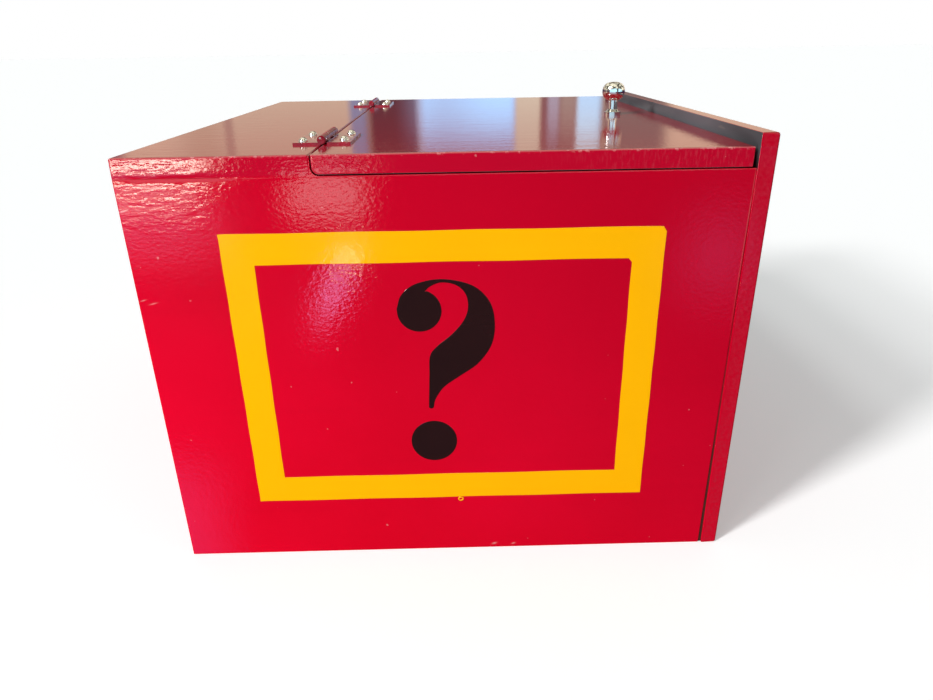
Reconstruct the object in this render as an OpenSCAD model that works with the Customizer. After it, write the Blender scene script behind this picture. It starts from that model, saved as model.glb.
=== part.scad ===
// Jack in the box: a painted plywood box with a hinged lid over a sprung jester.
// X runs from the back to the front board, Y across the box, Z up from the table.
// The origin is the middle of the footprint.

/* [Box] */
// Length of a side panel, back to front, along its top edge
side_len = 272; // [240:0.5:320]
// Overall width across both side panels
box_w = 318; // [270:1:360]
// Height to the top of the lid
box_h = 206; // [206:1:250]
// Thickness of the plywood boards
board_t = 8.8; // [8:0.1:12]
// How far the front edges of the sides fall back at the foot
front_relief = 2.2; // [0:0.1:3]
// Radius on the eased corners of the boards
ease_r = 1.2; // [0.5:0.1:2]

/* [Top and front] */
// Length of the fixed rear top board
rear_board_len = 82.7; // [70:0.1:95]
// Width of the joint between the rear top board and the lid
lid_joint = 1; // [0.6:0.1:2]
// Running gap under the lid
lid_gap = 0.5; // [0.3:0.1:1]
// Distance from the lid's front edge to the front end of the sides
lid_setback = 2.8; // [1:0.1:4]
// Radius on the lid's lower corner at the hinge joint
lid_heel_r = 3; // [1.5:0.5:4]
// Thickness of the front board
front_t = 7.5; // [6:0.1:12]
// Gap between the sides and the front board at the top
front_gap = 0.3; // [0.2:0.1:1]
// How far the front board stands above the lid
front_rise = 5.7; // [2:0.1:12]
// How far the front board stands proud of each side
front_proud = 0.4; // [0:0.1:4]

/* [Hinges] */
// Length of a hinge along its pin
hinge_len = 38; // [32:1:50]
// Width of a leaf, from the pin's centre to its edge
leaf_w = 13.3; // [12:0.1:20]
// Thickness of a leaf
leaf_t = 1; // [0.8:0.1:1.5]
// Outer radius of the knuckles
knuckle_r = 2; // [1.8:0.1:3]
// Radius of the hinge pins
hinge_pin_r = 0.9; // [0.7:0.05:1]
// Number of knuckles on a hinge
knuckles = 5; // [3:2:7]
// Gap between neighbouring knuckles
knuckle_gap = 0.25; // [0.15:0.05:0.5]
// Distance from a side's face to the near end of its hinge
hinge_inset = 32; // [20:1:50]
// Distance between the two screws of a leaf
hinge_screw_pitch = 25; // [18:0.5:25]
// Distance from the pin's centre to the screws
hinge_screw_x = 9.3; // [8:0.1:10]
// How far the lid's hinge screws are staggered from the others
hinge_screw_stagger = 3; // [0:0.5:4]
/* [Knob and catch] */
// Diameter of the knob's flattened ball
knob_d = 13.5; // [12:0.5:20]
// Height of the knob's flattened ball
knob_ball_h = 10.8; // [9:0.1:14]
// Height of the knob above the lid
knob_h = 19; // [18.5:0.1:30]
// Distance from the knob's centre to the lid's front edge
knob_inset = 27; // [22:0.5:45]
// How far the knob stands to the left of the lid's middle
knob_offset = 6; // [0:0.5:20]
// Width of the catch's case across the box
catch_w = 40; // [34:1:60]
// Depth of the catch's case behind the front board
catch_d = 12; // [10:1:18]
// Height of the catch's case
catch_h = 13; // [10:1:20]
// Gap between the catch and the strike plate
catch_gap = 0.3; // [0.2:0.1:1]

/* [Jack] */
// Radius of the jack's wooden base
base_r = 54; // [52:1:60]
// Thickness of the jack's wooden base
base_t = 12; // [10:1:16]
// Gap between the cap and the shut lid
cap_clear = 8; // [4:0.5:14]
// Radius of the spring to the middle of its wire
spring_r = 34; // [28:1:36]
// Radius of the spring's wire
wire_r = 1.3; // [1:0.1:1.5]
// Number of free coils in the spring
coils = 8; // [6:1:10]
// Radius of the shoulder disc
shoulder_r = 43; // [42:1:45]
// Thickness of the shoulder disc
shoulder_t = 10; // [9:1:12]
// Length of neck that shows between the shoulders and the head
neck_gap = 6; // [5:0.5:8]
// Radius of the neck peg
neck_r = 10; // [8:0.5:12]
// Radius of the head
head_r = 30; // [26:0.5:31]
// Depth of the sleeve's pleats
pleat_d = 10; // [6:0.5:10]
// Number of pleats in the sleeve
pleats = 10; // [6:1:12]
// Thickness of the cloth
cloth_t = 1.6; // [1:0.1:2]

/* [Hidden] */

// Fits
seat_fit = 0.02;   // a peg, pin or screw in its own hole
screw_fit = 0.1;   // a screw through a clearance hole
eye_fit = 0.1;     // an eye or the nose in its socket
run_fit = 0.05;    // a hinge pin in its knuckles
soft_fit = 0.3;    // cloth or felt beside wood
over = 1;          // how far a cutter reaches past the face it cuts
far = 200;         // a cutter that takes everything on one side

// Box
x_back = -(side_len + front_gap + front_t) / 2;
x_side = x_back + side_len;
x_front = x_side + front_gap;
y_out = box_w / 2;
y_in = y_out - board_t;
y_edge = y_out - board_t / 2;
side_h = box_h - board_t;
x_foot = x_side - front_relief;
front_h = box_h + front_rise;

// Lid and hinges
lid_t = board_t - lid_gap;
lid_x0 = x_back + rear_board_len + lid_joint;
lid_x1 = x_side - lid_setback;
lid_z0 = box_h - lid_t;
axis_x = lid_x0 - lid_joint / 2;
axis_z = box_h + knuckle_r;
hinge_y = y_out - hinge_inset - hinge_len / 2;
knuckle_l = (hinge_len - (knuckles - 1) * knuckle_gap) / knuckles;
notch_x = knuckle_r + 0.4;
pin_head_t = 0.5;
pin_head_r = knuckle_r - 0.4;

// Fasteners
pin_r = 0.8;
pin_len = 22;
pin_set = 0.8;
rear_pins = 4;
rear_pin_drop = 13;
rear_pin_pitch = 42;
rear_pin_z = [for (i = [0:rear_pins - 1]) side_h - rear_pin_drop - rear_pin_pitch * i];
bottom_pins = 4;
bottom_pin_end = 40;
bottom_pin_pitch = 60;
bottom_pin_x = [for (i = [0:bottom_pins - 1]) x_back + bottom_pin_end + bottom_pin_pitch * i];
top_pin_x = [x_back + rear_board_len / 4, x_back + rear_board_len * 3 / 4];
rear_pin_y = [-y_out * 2 / 3, 0, y_out * 2 / 3];
front_screw_r = 1.6;
front_screw_len = 24;
front_screw_head_r = 3.2;
front_screw_head_t = 2;
front_screw_foot = 28;
front_screw_z = [for (i = [0:2]) front_screw_foot + i * (side_h - 2 * front_screw_foot) / 2];
front_screw_y = 70;
hinge_screw_r = 1.1;
hinge_screw_len = 6.5;
hinge_head_r = 2.2;
hinge_head_h = 1.9;
slot_w = 0.6;
slot_d = 0.8;

// Knob
knob_x = lid_x1 - knob_inset;
knob_y = -knob_offset;
knob_ball_z = knob_h - knob_ball_h / 2;
knob_fullness = 2.4;
knob_flange_r = 5.1;
knob_flange_t = 1.8;
knob_neck_r = 2.8;
knob_flare_r = 3.8;
knob_flare_h = 1.5;
knob_thread_gap = 0.5;
knob_screw_r = 1.5;
knob_thread = 8;
knob_head_r = 3;
knob_head_h = 2;
washer_r = 4.5;
washer_t = 0.8;

// Catch
strike_t = 1;
strike_d = 10;
strike_w = 24;
strike_inset = 1;
strike_x = lid_x1 - strike_inset - strike_d / 2;
strike_z = lid_z0 - strike_t;
strike_screw_len = 6;
strike_screw_r = 1.2;
strike_screw_head_r = 2.4;
catch_top = strike_z - catch_gap;
catch_x = x_front - catch_d;
catch_pocket_x = catch_x + catch_d / 2;
catch_ear_w = 8;
catch_ear_t = 3;
catch_body_w = catch_w - 2 * catch_ear_w;
catch_screw_y = (catch_w - catch_ear_w) / 2;
catch_screw_z = catch_top - catch_h / 2;
catch_screw_r = 1.3;
catch_screw_bite = 4.5;
catch_screw_head_r = 2.4;
catch_screw_head_h = 1.6;
catch_wall = 2;
magnet_w = catch_body_w - 3 * catch_wall;
magnet_d = 3;
magnet_drop = 1;
pole_t = 1.4;
pole_proud = 0.2;
pocket_depth = catch_h - catch_wall;

// Jack
jack_x = (lid_x0 + lid_x1) / 2;
base_z = board_t + base_t;
horn_path = [[10, 16], [24, 50], [52, 52], [57, 12]];
horn_root_r = 13;
horn_tip_r = 3.5;
horn_rings = 16;
horn_sides = 20;
horn_radii = [for (i = [0:horn_rings - 1])
  horn_root_r + (horn_tip_r - horn_root_r) * i / (horn_rings - 1)];
horn_top = max([for (i = [0:horn_rings - 1])
  bezier(horn_path, i / (horn_rings - 1))[1] + horn_radii[i]]);
head_flat = 1.5;
head_z = lid_z0 - cap_clear - horn_top;
head_base = head_z - head_r + head_flat;
shoulder_top = head_base - neck_gap;
shoulder_z = shoulder_top - shoulder_t;
peg_seat = 7;
peg_in_head = 12;
base_screw_r = 1.6;
base_screw_ring = 18;
base_screw_bite = 6;
end_pitch = 2 * wire_r + 0.15;
wire_z0 = base_z + wire_r + run_fit;
wire_z1 = shoulder_z - wire_r - run_fit;
turns = coils + 2;
free_pitch = (wire_z1 - wire_z0 - 2 * end_pitch) / coils;
rings_per_turn = 18;
wire_sides = 8;
staple_r = 0.7;
staple_leg = 6;
staple_gap = 0.1;
staple_reach = wire_r + staple_r + staple_gap;
staple_clear = 0.3;
staple_rise = wire_r + staple_reach + staple_r + staple_clear;
staple_first = ceil(rings_per_turn * (staple_rise - end_pitch) / (free_pitch - end_pitch));
staple_last = rings_per_turn - 1;
staple_turns = [for (i = [staple_first, round((staple_first + staple_last) / 2), staple_last])
  i / rings_per_turn];
sleeve_r = shoulder_r + soft_fit + cloth_t;
sleeve_lip = 2;
sleeve_top = shoulder_top - sleeve_lip;
nose_r = 6.5;
nose_peg_r = 2;
nose_peg_len = 9;
nose_drop = 2;
nose_sink = 2.5;
eye_sink = 2;
eye_edge = 0.8;
eye_r = 4.2;
eye_turn = 21;
eye_lift = 12;
cap_t = 2;
cap_low = 5;
cap_tilt = 12;
horn_turns = [105, 180, 255];
bell_r = 5;
bell_slot = 1;
ruff_points = 14;
ruff_r = 47;
ruff_valley_r = 38;
ruff_t = 3;
arm_x = sleeve_r + soft_fit;
arm_drop = 7;
arm_z = shoulder_top - arm_drop;
arm_out = 19;
arm_bend = 6;
arm_fall = 28;
arm_path = [
  [arm_x, arm_z], [arm_x + arm_out - arm_bend, arm_z],
  [arm_x + arm_out, arm_z - arm_bend], [arm_x + arm_out, arm_z - arm_fall]
];
arm_rings = 14;
arm_root_r = 5.5;
arm_puff_r = 3.2;
arm_sides = 16;
arm_radii = [for (i = [0:arm_rings - 1]) arm_root_r + arm_puff_r * sin(150 * i / (arm_rings - 1))];
palm_r = 7;
finger_r = 3;
finger_gap = 4;
thumb_r = 2.8;

// ---- helpers ----

// A profile in X and Z, extruded from y0 to y1
module across(y0, y1) {
  translate([0, y1, 0]) rotate([90, 0, 0]) linear_extrude(y1 - y0) children();
}

// The waste outside a rounded corner; sx and sz point into the board
module corner_waste(x, z, sx, sz, r) {
  difference() {
    translate([min(x - sx * over, x + sx * r), min(z - sz * over, z + sz * r)]) square(r + over);
    translate([x + sx * r, z + sz * r]) circle(r, $fn = 48);
  }
}

// A board's section; radii run lower back, lower front, upper front, upper back
module board_section(x0, z0, x1, z1, radii) {
  difference() {
    translate([x0, z0]) square([x1 - x0, z1 - z0]);
    if (radii[0] > 0) corner_waste(x0, z0, 1, 1, radii[0]);
    if (radii[1] > 0) corner_waste(x1, z0, -1, 1, radii[1]);
    if (radii[2] > 0) corner_waste(x1, z1, -1, -1, radii[2]);
    if (radii[3] > 0) corner_waste(x0, z1, 1, -1, radii[3]);
  }
}

// A countersunk screw, head at the origin, pointing along +Z
module flat_screw(r, l, head_r, head_t, fit = 0) {
  cylinder(h = l + fit, r = r + fit, $fn = 32);
  cylinder(h = head_t, r1 = head_r + fit, r2 = r + fit, $fn = 32);
}

// A slotted round-head screw, seat of the head at the origin, shank along -Z
module round_screw(r, l, head_r, head_h) {
  cap_r = (head_r * head_r + head_h * head_h) / (2 * head_h);
  translate([0, 0, -l]) cylinder(h = l, r = r, $fn = 32);
  difference() {
    intersection() {
      translate([0, 0, head_h - cap_r]) sphere(cap_r, $fn = 40);
      cylinder(h = head_h + over, r = head_r, $fn = 40);
    }
    translate([-head_r - over, -slot_w / 2, head_h - slot_d])
      cube([2 * (head_r + over), slot_w, slot_d + over]);
  }
}

// A tube swept along rings of points: each ring has the same number of points
function ring_faces(rings, sides) = concat(
  [[for (j = [0:sides - 1]) sides - 1 - j]],
  [for (i = [0:rings - 2]) for (j = [0:sides - 1]) let (k = (j + 1) % sides)
    [i * sides + j, i * sides + k, (i + 1) * sides + k, (i + 1) * sides + j]],
  [[for (j = [0:sides - 1]) (rings - 1) * sides + j]]
);

function bezier(p, t) = pow(1 - t, 3) * p[0] + 3 * t * pow(1 - t, 2) * p[1]
  + 3 * t * t * (1 - t) * p[2] + pow(t, 3) * p[3];
function bezier_run(p, t) = 3 * pow(1 - t, 2) * (p[1] - p[0]) + 6 * t * (1 - t) * (p[2] - p[1])
  + 3 * t * t * (p[3] - p[2]);

// One ring round a curve that lies in a plane of out and up
function limb_ring(p, t, r, sides) = let (c = bezier(p, t), d = bezier_run(p, t), n = norm(d))
  [for (j = [0:sides - 1]) let (a = 360 * j / sides)
    [c[0] - d[1] / n * r * cos(a), r * sin(a), c[1] + d[0] / n * r * cos(a)]];

module limb(p, radii, sides) {
  rings = len(radii);
  polyhedron(
    points = [for (i = [0:rings - 1]) each limb_ring(p, i / (rings - 1), radii[i], sides)],
    faces = ring_faces(rings, sides),
    convexity = 6
  );
}

// ---- where things repeat ----

module front_screw_places() {
  for (s = [-1, 1]) {
    for (z = front_screw_z)
      translate([x_front + front_t, s * y_edge, z]) rotate([0, -90, 0]) children();
    translate([x_front + front_t, s * front_screw_y, board_t / 2]) rotate([0, -90, 0]) children();
  }
}

module front_screw(fit = 0) {
  flat_screw(front_screw_r, front_screw_len, front_screw_head_r, front_screw_head_t, fit);
}

module pin_places() {
  rear_x = x_back + board_t / 2;
  for (s = [-1, 1]) {
    for (z = rear_pin_z)
      translate([rear_x, s * (y_out - pin_set), z]) rotate([s * 90, 0, 0]) children();
    for (x = bottom_pin_x)
      translate([x, s * (y_out - pin_set), board_t / 2]) rotate([s * 90, 0, 0]) children();
    for (x = top_pin_x)
      translate([x, s * y_edge, box_h - pin_set]) rotate([180, 0, 0]) children();
  }
  for (y = rear_pin_y)
    translate([rear_x, y, box_h - pin_set]) rotate([180, 0, 0]) children();
}

module panel_pin(fit = 0) {
  cylinder(h = pin_len + fit, r = pin_r + fit, $fn = 24);
}

// Both hinges: the left one lies at -Y, the right one is its mirror image
module at_hinge(side) {
  mirror([0, side == "left" ? 0 : 1, 0]) translate([axis_x, -hinge_y, axis_z]) children();
}

// The two screws of a leaf; out is -1 on the fixed leaf and 1 on the lid's
module leaf_screw_places(out) {
  for (s = [-1, 1])
    translate([
      out * hinge_screw_x,
      s * hinge_screw_pitch / 2 + out * hinge_screw_stagger / 2,
      leaf_t - knuckle_r
    ]) children();
}

// The holes for a leaf's screws in the board under it
module leaf_pilots(out) {
  depth = leaf_t + hinge_screw_len;
  for (side = ["left", "right"]) at_hinge(side) leaf_screw_places(out)
    translate([0, 0, -depth]) cylinder(h = depth, r = hinge_screw_r + seat_fit, $fn = 32);
}

module knuckle_span(i, margin) {
  translate([0, -hinge_len / 2 + i * (knuckle_l + knuckle_gap) - margin, 0])
    rotate([-90, 0, 0]) linear_extrude(knuckle_l + 2 * margin) children();
}

module leaf(out) {
  first = out < 0 ? 0 : 1;
  difference() {
    union() {
      translate([min(0, out * leaf_w), -hinge_len / 2, -knuckle_r]) cube([leaf_w, hinge_len, leaf_t]);
      for (i = [first:2:knuckles - 1]) knuckle_span(i, 0) circle(knuckle_r, $fn = 40);
    }
    for (i = [1 - first:2:knuckles - 1])
      knuckle_span(i, knuckle_gap) square(2 * notch_x, center = true);
    rotate([90, 0, 0])
      cylinder(h = hinge_len + 2 * over, r = hinge_pin_r + run_fit, center = true, $fn = 40);
    leaf_screw_places(out)
      cylinder(h = 4 * leaf_t, r = hinge_screw_r + screw_fit, center = true, $fn = 32);
  }
}

module hinge_pin() {
  rotate([90, 0, 0]) cylinder(h = hinge_len, r = hinge_pin_r, center = true, $fn = 40);
  for (s = [-1, 1]) translate([0, s * (hinge_len + pin_head_t) / 2, 0])
    rotate([90, 0, 0]) cylinder(h = pin_head_t, r = pin_head_r, center = true, $fn = 40);
}

// ---- box ----

module side_panel(s) {
  color([0.72, 0.03, 0.13]) difference() {
    across(min(s * y_in, s * y_out), max(s * y_in, s * y_out))
      polygon([[x_back, 0], [x_foot, 0], [x_side, side_h], [x_back, side_h]]);
    pin_places() panel_pin(seat_fit);
    front_screw_places() front_screw(seat_fit);
  }
}

module left_side_panel() { side_panel(-1); }

module right_side_panel() { side_panel(1); }

module rear_panel() {
  color([0.72, 0.03, 0.13]) difference() {
    translate([x_back, -y_in, 0]) cube([board_t, 2 * y_in, side_h]);
    pin_places() panel_pin(seat_fit);
  }
}

module bottom_panel() {
  color([0.72, 0.03, 0.13]) difference() {
    translate([x_back + board_t, -y_in, 0]) cube([x_foot - x_back - board_t, 2 * y_in, board_t]);
    pin_places() panel_pin(seat_fit);
    front_screw_places() front_screw(seat_fit);
    base_screw_places() base_screw(seat_fit);
  }
}

module rear_top_board() {
  color([0.72, 0.03, 0.13]) difference() {
    across(-y_out, y_out)
      board_section(x_back, side_h, x_back + rear_board_len, box_h, [0, 0, ease_r / 3, ease_r]);
    pin_places() panel_pin(seat_fit);
    leaf_pilots(-1);
  }
}

module front_board() {
  color([0.72, 0.03, 0.13]) difference() {
    across(-y_out - front_proud, y_out + front_proud)
      board_section(x_front, 0, x_front + front_t, front_h, [ease_r, ease_r, ease_r, ease_r]);
    front_screw_places() front_screw(seat_fit);
    catch_screw_places() translate([0, 0, -catch_ear_t - catch_screw_bite])
      cylinder(h = catch_screw_bite + catch_ear_t, r = catch_screw_r + seat_fit, $fn = 32);
  }
}

module lid() {
  color([0.72, 0.03, 0.13]) difference() {
    across(-y_out, y_out)
      board_section(lid_x0, lid_z0, lid_x1, box_h, [lid_heel_r, ease_r / 2, ease_r / 2, ease_r / 3]);
    leaf_pilots(1);
    translate([knob_x, knob_y, lid_z0 - over])
      cylinder(h = lid_t + 2 * over, r = knob_screw_r + screw_fit, $fn = 40);
    strike_fastener(seat_fit);
  }
}

module panel_pins() {
  color([0.6, 0.6, 0.62]) pin_places() panel_pin();
}

module front_screws() {
  color([0.7, 0.7, 0.72]) front_screw_places() front_screw();
}

// ---- hinges ----

module left_hinge_fixed_leaf() { color([0.6, 0.03, 0.13]) at_hinge("left") leaf(-1); }

module left_hinge_lid_leaf() { color([0.6, 0.03, 0.13]) at_hinge("left") leaf(1); }

module left_hinge_pin() { color([0.6, 0.03, 0.13]) at_hinge("left") hinge_pin(); }

module right_hinge_fixed_leaf() { color([0.6, 0.03, 0.13]) at_hinge("right") leaf(-1); }

module right_hinge_lid_leaf() { color([0.6, 0.03, 0.13]) at_hinge("right") leaf(1); }

module right_hinge_pin() { color([0.6, 0.03, 0.13]) at_hinge("right") hinge_pin(); }

module hinge_screws(out) {
  color([0.82, 0.84, 0.86]) for (side = ["left", "right"]) at_hinge(side) leaf_screw_places(out)
    round_screw(hinge_screw_r, hinge_screw_len + leaf_t - seat_fit, hinge_head_r, hinge_head_h);
}

module fixed_leaf_screws() { hinge_screws(-1); }

module lid_leaf_screws() { hinge_screws(1); }

// ---- knob ----

// Half of the ball's outline, from its underside to its top, fuller than an ellipse
function knob_outline(steps = 32) = [for (i = [0:steps]) let (
    a = 180 * i / steps - 90, reach = pow(abs(cos(a)), 2 / knob_fullness),
    rise = sign(a) * pow(abs(sin(a)), 2 / knob_fullness))
  [i == 0 || i == steps ? 0 : knob_d / 2 * reach, knob_ball_h / 2 * rise]];

module knob() {
  color([0.82, 0.84, 0.86]) translate([knob_x, knob_y, box_h]) difference() {
    union() {
      cylinder(h = knob_flange_t, r = knob_flange_r, $fn = 64);
      translate([0, 0, knob_flange_t])
        cylinder(h = knob_flare_h, r1 = knob_flare_r, r2 = knob_neck_r, $fn = 64);
      cylinder(h = knob_ball_z, r = knob_neck_r, $fn = 64);
      translate([0, 0, knob_ball_z]) rotate_extrude($fn = 64) polygon(knob_outline());
    }
    translate([0, 0, -over]) cylinder(h = knob_thread + over, r = knob_screw_r + seat_fit, $fn = 40);
  }
}

module knob_screw() {
  color([0.7, 0.7, 0.72]) translate([knob_x, knob_y, lid_z0 - washer_t]) rotate([180, 0, 0])
    round_screw(knob_screw_r, lid_t + washer_t + knob_thread - knob_thread_gap, knob_head_r, knob_head_h);
}

module knob_washer() {
  color([0.7, 0.7, 0.72]) translate([knob_x, knob_y, lid_z0 - washer_t]) difference() {
    cylinder(h = washer_t, r = washer_r, $fn = 48);
    translate([0, 0, -over]) cylinder(h = washer_t + 2 * over, r = knob_screw_r + screw_fit, $fn = 40);
  }
}

// ---- catch ----

module catch_screw_places() {
  for (s = [-1, 1])
    translate([x_front - catch_ear_t, s * catch_screw_y, catch_screw_z]) rotate([0, -90, 0]) children();
}

// A block w across the box and d front to back, with its middle at x and its foot at z
module catch_block(x, z, d, w, h) {
  translate([x - d / 2, -w / 2, z]) cube([d, w, h]);
}

module catch_case() {
  stack_d = magnet_d + 2 * pole_t + 2 * seat_fit;
  color([0.12, 0.12, 0.13]) difference() {
    union() {
      catch_block(catch_pocket_x, catch_top - catch_h, catch_d, catch_body_w, catch_h);
      catch_block(x_front - catch_ear_t / 2, catch_top - catch_h, catch_ear_t, catch_w, catch_h);
    }
    catch_block(catch_pocket_x, catch_top - pocket_depth, stack_d, magnet_w + 2 * seat_fit, catch_h);
    catch_screw_places()
      cylinder(h = 4 * catch_ear_t, r = catch_screw_r + screw_fit, center = true, $fn = 32);
  }
}

module catch_magnet() {
  color([0.2, 0.2, 0.21])
    catch_block(catch_pocket_x, catch_top - pocket_depth, magnet_d, magnet_w, pocket_depth - magnet_drop);
}

module catch_poles() {
  color([0.7, 0.7, 0.72]) for (s = [-1, 1])
    catch_block(catch_pocket_x + s * (magnet_d + pole_t) / 2, catch_top - pocket_depth,
      pole_t, magnet_w, pocket_depth + pole_proud);
}

module catch_screws() {
  color([0.7, 0.7, 0.72]) catch_screw_places()
    round_screw(catch_screw_r, catch_ear_t + catch_screw_bite - seat_fit, catch_screw_head_r,
      catch_screw_head_h);
}

module strike_fastener(fit = 0) {
  translate([strike_x, 0, strike_z])
    flat_screw(strike_screw_r, strike_screw_len, strike_screw_head_r, strike_t, fit);
}

module strike_plate() {
  color([0.7, 0.7, 0.72]) difference() {
    translate([strike_x - strike_d / 2, -strike_w / 2, strike_z]) cube([strike_d, strike_w, strike_t]);
    strike_fastener(seat_fit);
  }
}

module strike_screw() { color([0.7, 0.7, 0.72]) strike_fastener(); }

// ---- jack: base and spring ----

module base_screw_places() {
  for (a = [30, 150, 270])
    translate([jack_x, 0, base_z]) rotate([0, 0, a]) translate([base_screw_ring, 0, 0])
      rotate([180, 0, 0]) children();
}

module base_screw(fit = 0) {
  flat_screw(base_screw_r, base_t + base_screw_bite, front_screw_head_r, front_screw_head_t, fit);
}

function wire_z(t) = t < 1 ? wire_z0 + end_pitch * t
  : t > turns - 1 ? wire_z1 - end_pitch * (turns - t)
  : wire_z0 + end_pitch + free_pitch * (t - 1);

// A staple over the wire at a turn; legs point down for up = -1, up for up = 1
module staple(t, up, fit = 0) {
  leg = staple_leg + (up < 0 ? wire_z(t) - base_z : shoulder_z - wire_z(t));
  translate([jack_x, 0, wire_z(t)]) rotate([0, 0, 360 * t]) translate([spring_r, 0, 0])
    mirror([0, 0, up < 0 ? 0 : 1]) {
      intersection() {
        rotate([90, 0, 0]) rotate_extrude($fn = 40) translate([staple_reach, 0]) circle(staple_r + fit, $fn = 20);
        translate([-spring_r, -spring_r, 0]) cube(2 * spring_r);
      }
      for (s = [-1, 1])
        translate([s * staple_reach, 0, -leg - fit]) cylinder(h = leg + fit, r = staple_r + fit, $fn = 20);
    }
}

module jack_base() {
  color([0.86, 0.72, 0.5]) difference() {
    translate([jack_x, 0, board_t]) cylinder(h = base_t, r = base_r, $fn = 96);
    base_screw_places() base_screw(seat_fit);
    for (t = staple_turns) staple(t, -1, seat_fit);
  }
}

module base_screws() { color([0.7, 0.7, 0.72]) base_screw_places() base_screw(); }

module spring() {
  steps = turns * rings_per_turn;
  color([0.62, 0.63, 0.65]) translate([jack_x, 0, 0]) polyhedron(
    points = [for (i = [0:steps]) let (t = i / rings_per_turn, a = 360 * t) for (j = [0:wire_sides - 1])
      let (b = 360 * j / wire_sides, r = spring_r + wire_r * cos(b))
      [r * cos(a), r * sin(a), wire_z(t) + wire_r * sin(b)]],
    faces = ring_faces(steps + 1, wire_sides),
    convexity = 20
  );
}

module lower_staples() { color([0.62, 0.63, 0.65]) for (t = staple_turns) staple(t, -1); }

module upper_staples() { color([0.62, 0.63, 0.65]) for (t = staple_turns) staple(turns - t, 1); }

// ---- jack: figure ----

module shoulder_disc() {
  color([0.86, 0.72, 0.5]) difference() {
    translate([jack_x, 0, shoulder_z]) cylinder(h = shoulder_t, r = shoulder_r, $fn = 96);
    translate([jack_x, 0, shoulder_top - peg_seat])
      cylinder(h = peg_seat + over, r = neck_r + seat_fit, $fn = 64);
    for (t = staple_turns) staple(turns - t, 1, seat_fit);
  }
}

// The sleeve hangs from a band round the shoulder disc down to the base, in pleats
function fold(i) = i == 2 * pleats ? 0 : (i % 2 == 0 ? 1 : -1) * pleat_d / 2;

module body_sleeve() {
  low = base_z + soft_fit;
  folds = 2 * pleats;
  fold_h = (shoulder_z - low) / folds;
  outer = [for (i = [0:folds]) [sleeve_r + fold(i), low + fold_h * i]];
  inner = [for (i = [0:folds]) [sleeve_r - cloth_t + fold(folds - i), shoulder_z - fold_h * i]];
  color([0.12, 0.3, 0.68]) translate([jack_x, 0, 0]) rotate_extrude($fn = 96)
    polygon(concat(outer, [[sleeve_r, sleeve_top], [sleeve_r - cloth_t, sleeve_top]], inner));
}

module neck_peg() {
  color([0.86, 0.72, 0.5]) translate([jack_x, 0, shoulder_top - peg_seat])
    cylinder(h = peg_seat + neck_gap + peg_in_head, r = neck_r, $fn = 64);
}

module nose_shape(fit = 0) {
  translate([jack_x + head_r + nose_r - nose_sink, 0, head_z - nose_drop]) {
    sphere(nose_r + fit, $fn = 48);
    rotate([0, -90, 0]) cylinder(h = nose_r + nose_peg_len + fit, r = nose_peg_r + fit, $fn = 32);
  }
}

// Where the eyes sit, with Z pointing out of the head
module eye_places() {
  for (s = [-1, 1])
    translate([jack_x, 0, head_z]) rotate([0, 90 - eye_lift, s * eye_turn])
      translate([0, 0, head_r - eye_sink]) children();
}

// A domed button
module eye_button() {
  rotate_extrude($fn = 48) {
    square([eye_r, eye_edge]);
    translate([0, eye_edge]) intersection() {
      circle(eye_r, $fn = 48);
      square(eye_r);
    }
  }
}

module head() {
  color([0.93, 0.74, 0.6]) difference() {
    translate([jack_x, 0, head_z]) sphere(head_r, $fn = 96);
    translate([jack_x - head_r, -head_r, head_base - head_r]) cube([2 * head_r, 2 * head_r, head_r]);
    translate([jack_x, 0, head_base - over])
      cylinder(h = peg_in_head + over + seat_fit, r = neck_r + seat_fit, $fn = 64);
    nose_shape(eye_fit);
    eye_places() cylinder(h = 2 * eye_r, r = eye_r + eye_fit, $fn = 48);
  }
}

module nose() { color([0.85, 0.08, 0.08]) nose_shape(); }

module eyes() { color([0.05, 0.05, 0.06]) eye_places() eye_button(); }

// A felt cap over the top of the head, with three drooping points
module cap() {
  color([0.1, 0.45, 0.25]) translate([jack_x, 0, head_z]) difference() {
    union() {
      rotate([0, -cap_tilt, 0]) intersection() {
        sphere(head_r + soft_fit + cap_t, $fn = 64);
        translate([-far, -far, cap_low]) cube(2 * far);
      }
      for (a = horn_turns) rotate([0, 0, a]) limb(horn_path, horn_radii, horn_sides);
    }
    sphere(head_r + soft_fit, $fn = 64);
  }
}

module cap_bells() {
  tip = horn_path[3];
  run = bezier_run(horn_path, 1);
  seat = tip + run / norm(run) * (bell_r + soft_fit);
  color([0.85, 0.65, 0.2]) for (a = horn_turns) translate([jack_x, 0, head_z]) rotate([0, 0, a])
    translate([seat[0], 0, seat[1]]) difference() {
      sphere(bell_r, $fn = 40);
      translate([-bell_r, -bell_slot / 2, -bell_r - over]) cube([2 * bell_r, bell_slot, bell_r]);
    }
}

module ruff() {
  color([0.95, 0.95, 0.92]) translate([jack_x, 0, shoulder_top + soft_fit])
    linear_extrude(ruff_t) difference() {
      polygon([for (i = [0:2 * ruff_points - 1])
        let (a = 180 * i / ruff_points, r = i % 2 == 0 ? ruff_r : ruff_valley_r)
        [r * cos(a), r * sin(a)]]);
      circle(neck_r + soft_fit, $fn = 64);
    }
}

module arm(s) {
  color([0.12, 0.3, 0.68]) translate([jack_x, 0, 0]) rotate([0, 0, s * 90])
    limb(arm_path, arm_radii, arm_sides);
}

module hand(s) {
  wrist = arm_path[3];
  color([0.95, 0.95, 0.92]) translate([jack_x, s * wrist[0], wrist[1] - soft_fit - palm_r]) {
    sphere(palm_r, $fn = 48);
    for (i = [-1:1]) translate([i * finger_gap, 0, -palm_r]) sphere(finger_r, $fn = 32);
    translate([palm_r, 0, 0]) sphere(thumb_r, $fn = 32);
  }
}

module left_arm() { arm(-1); }

module right_arm() { arm(1); }

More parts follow.
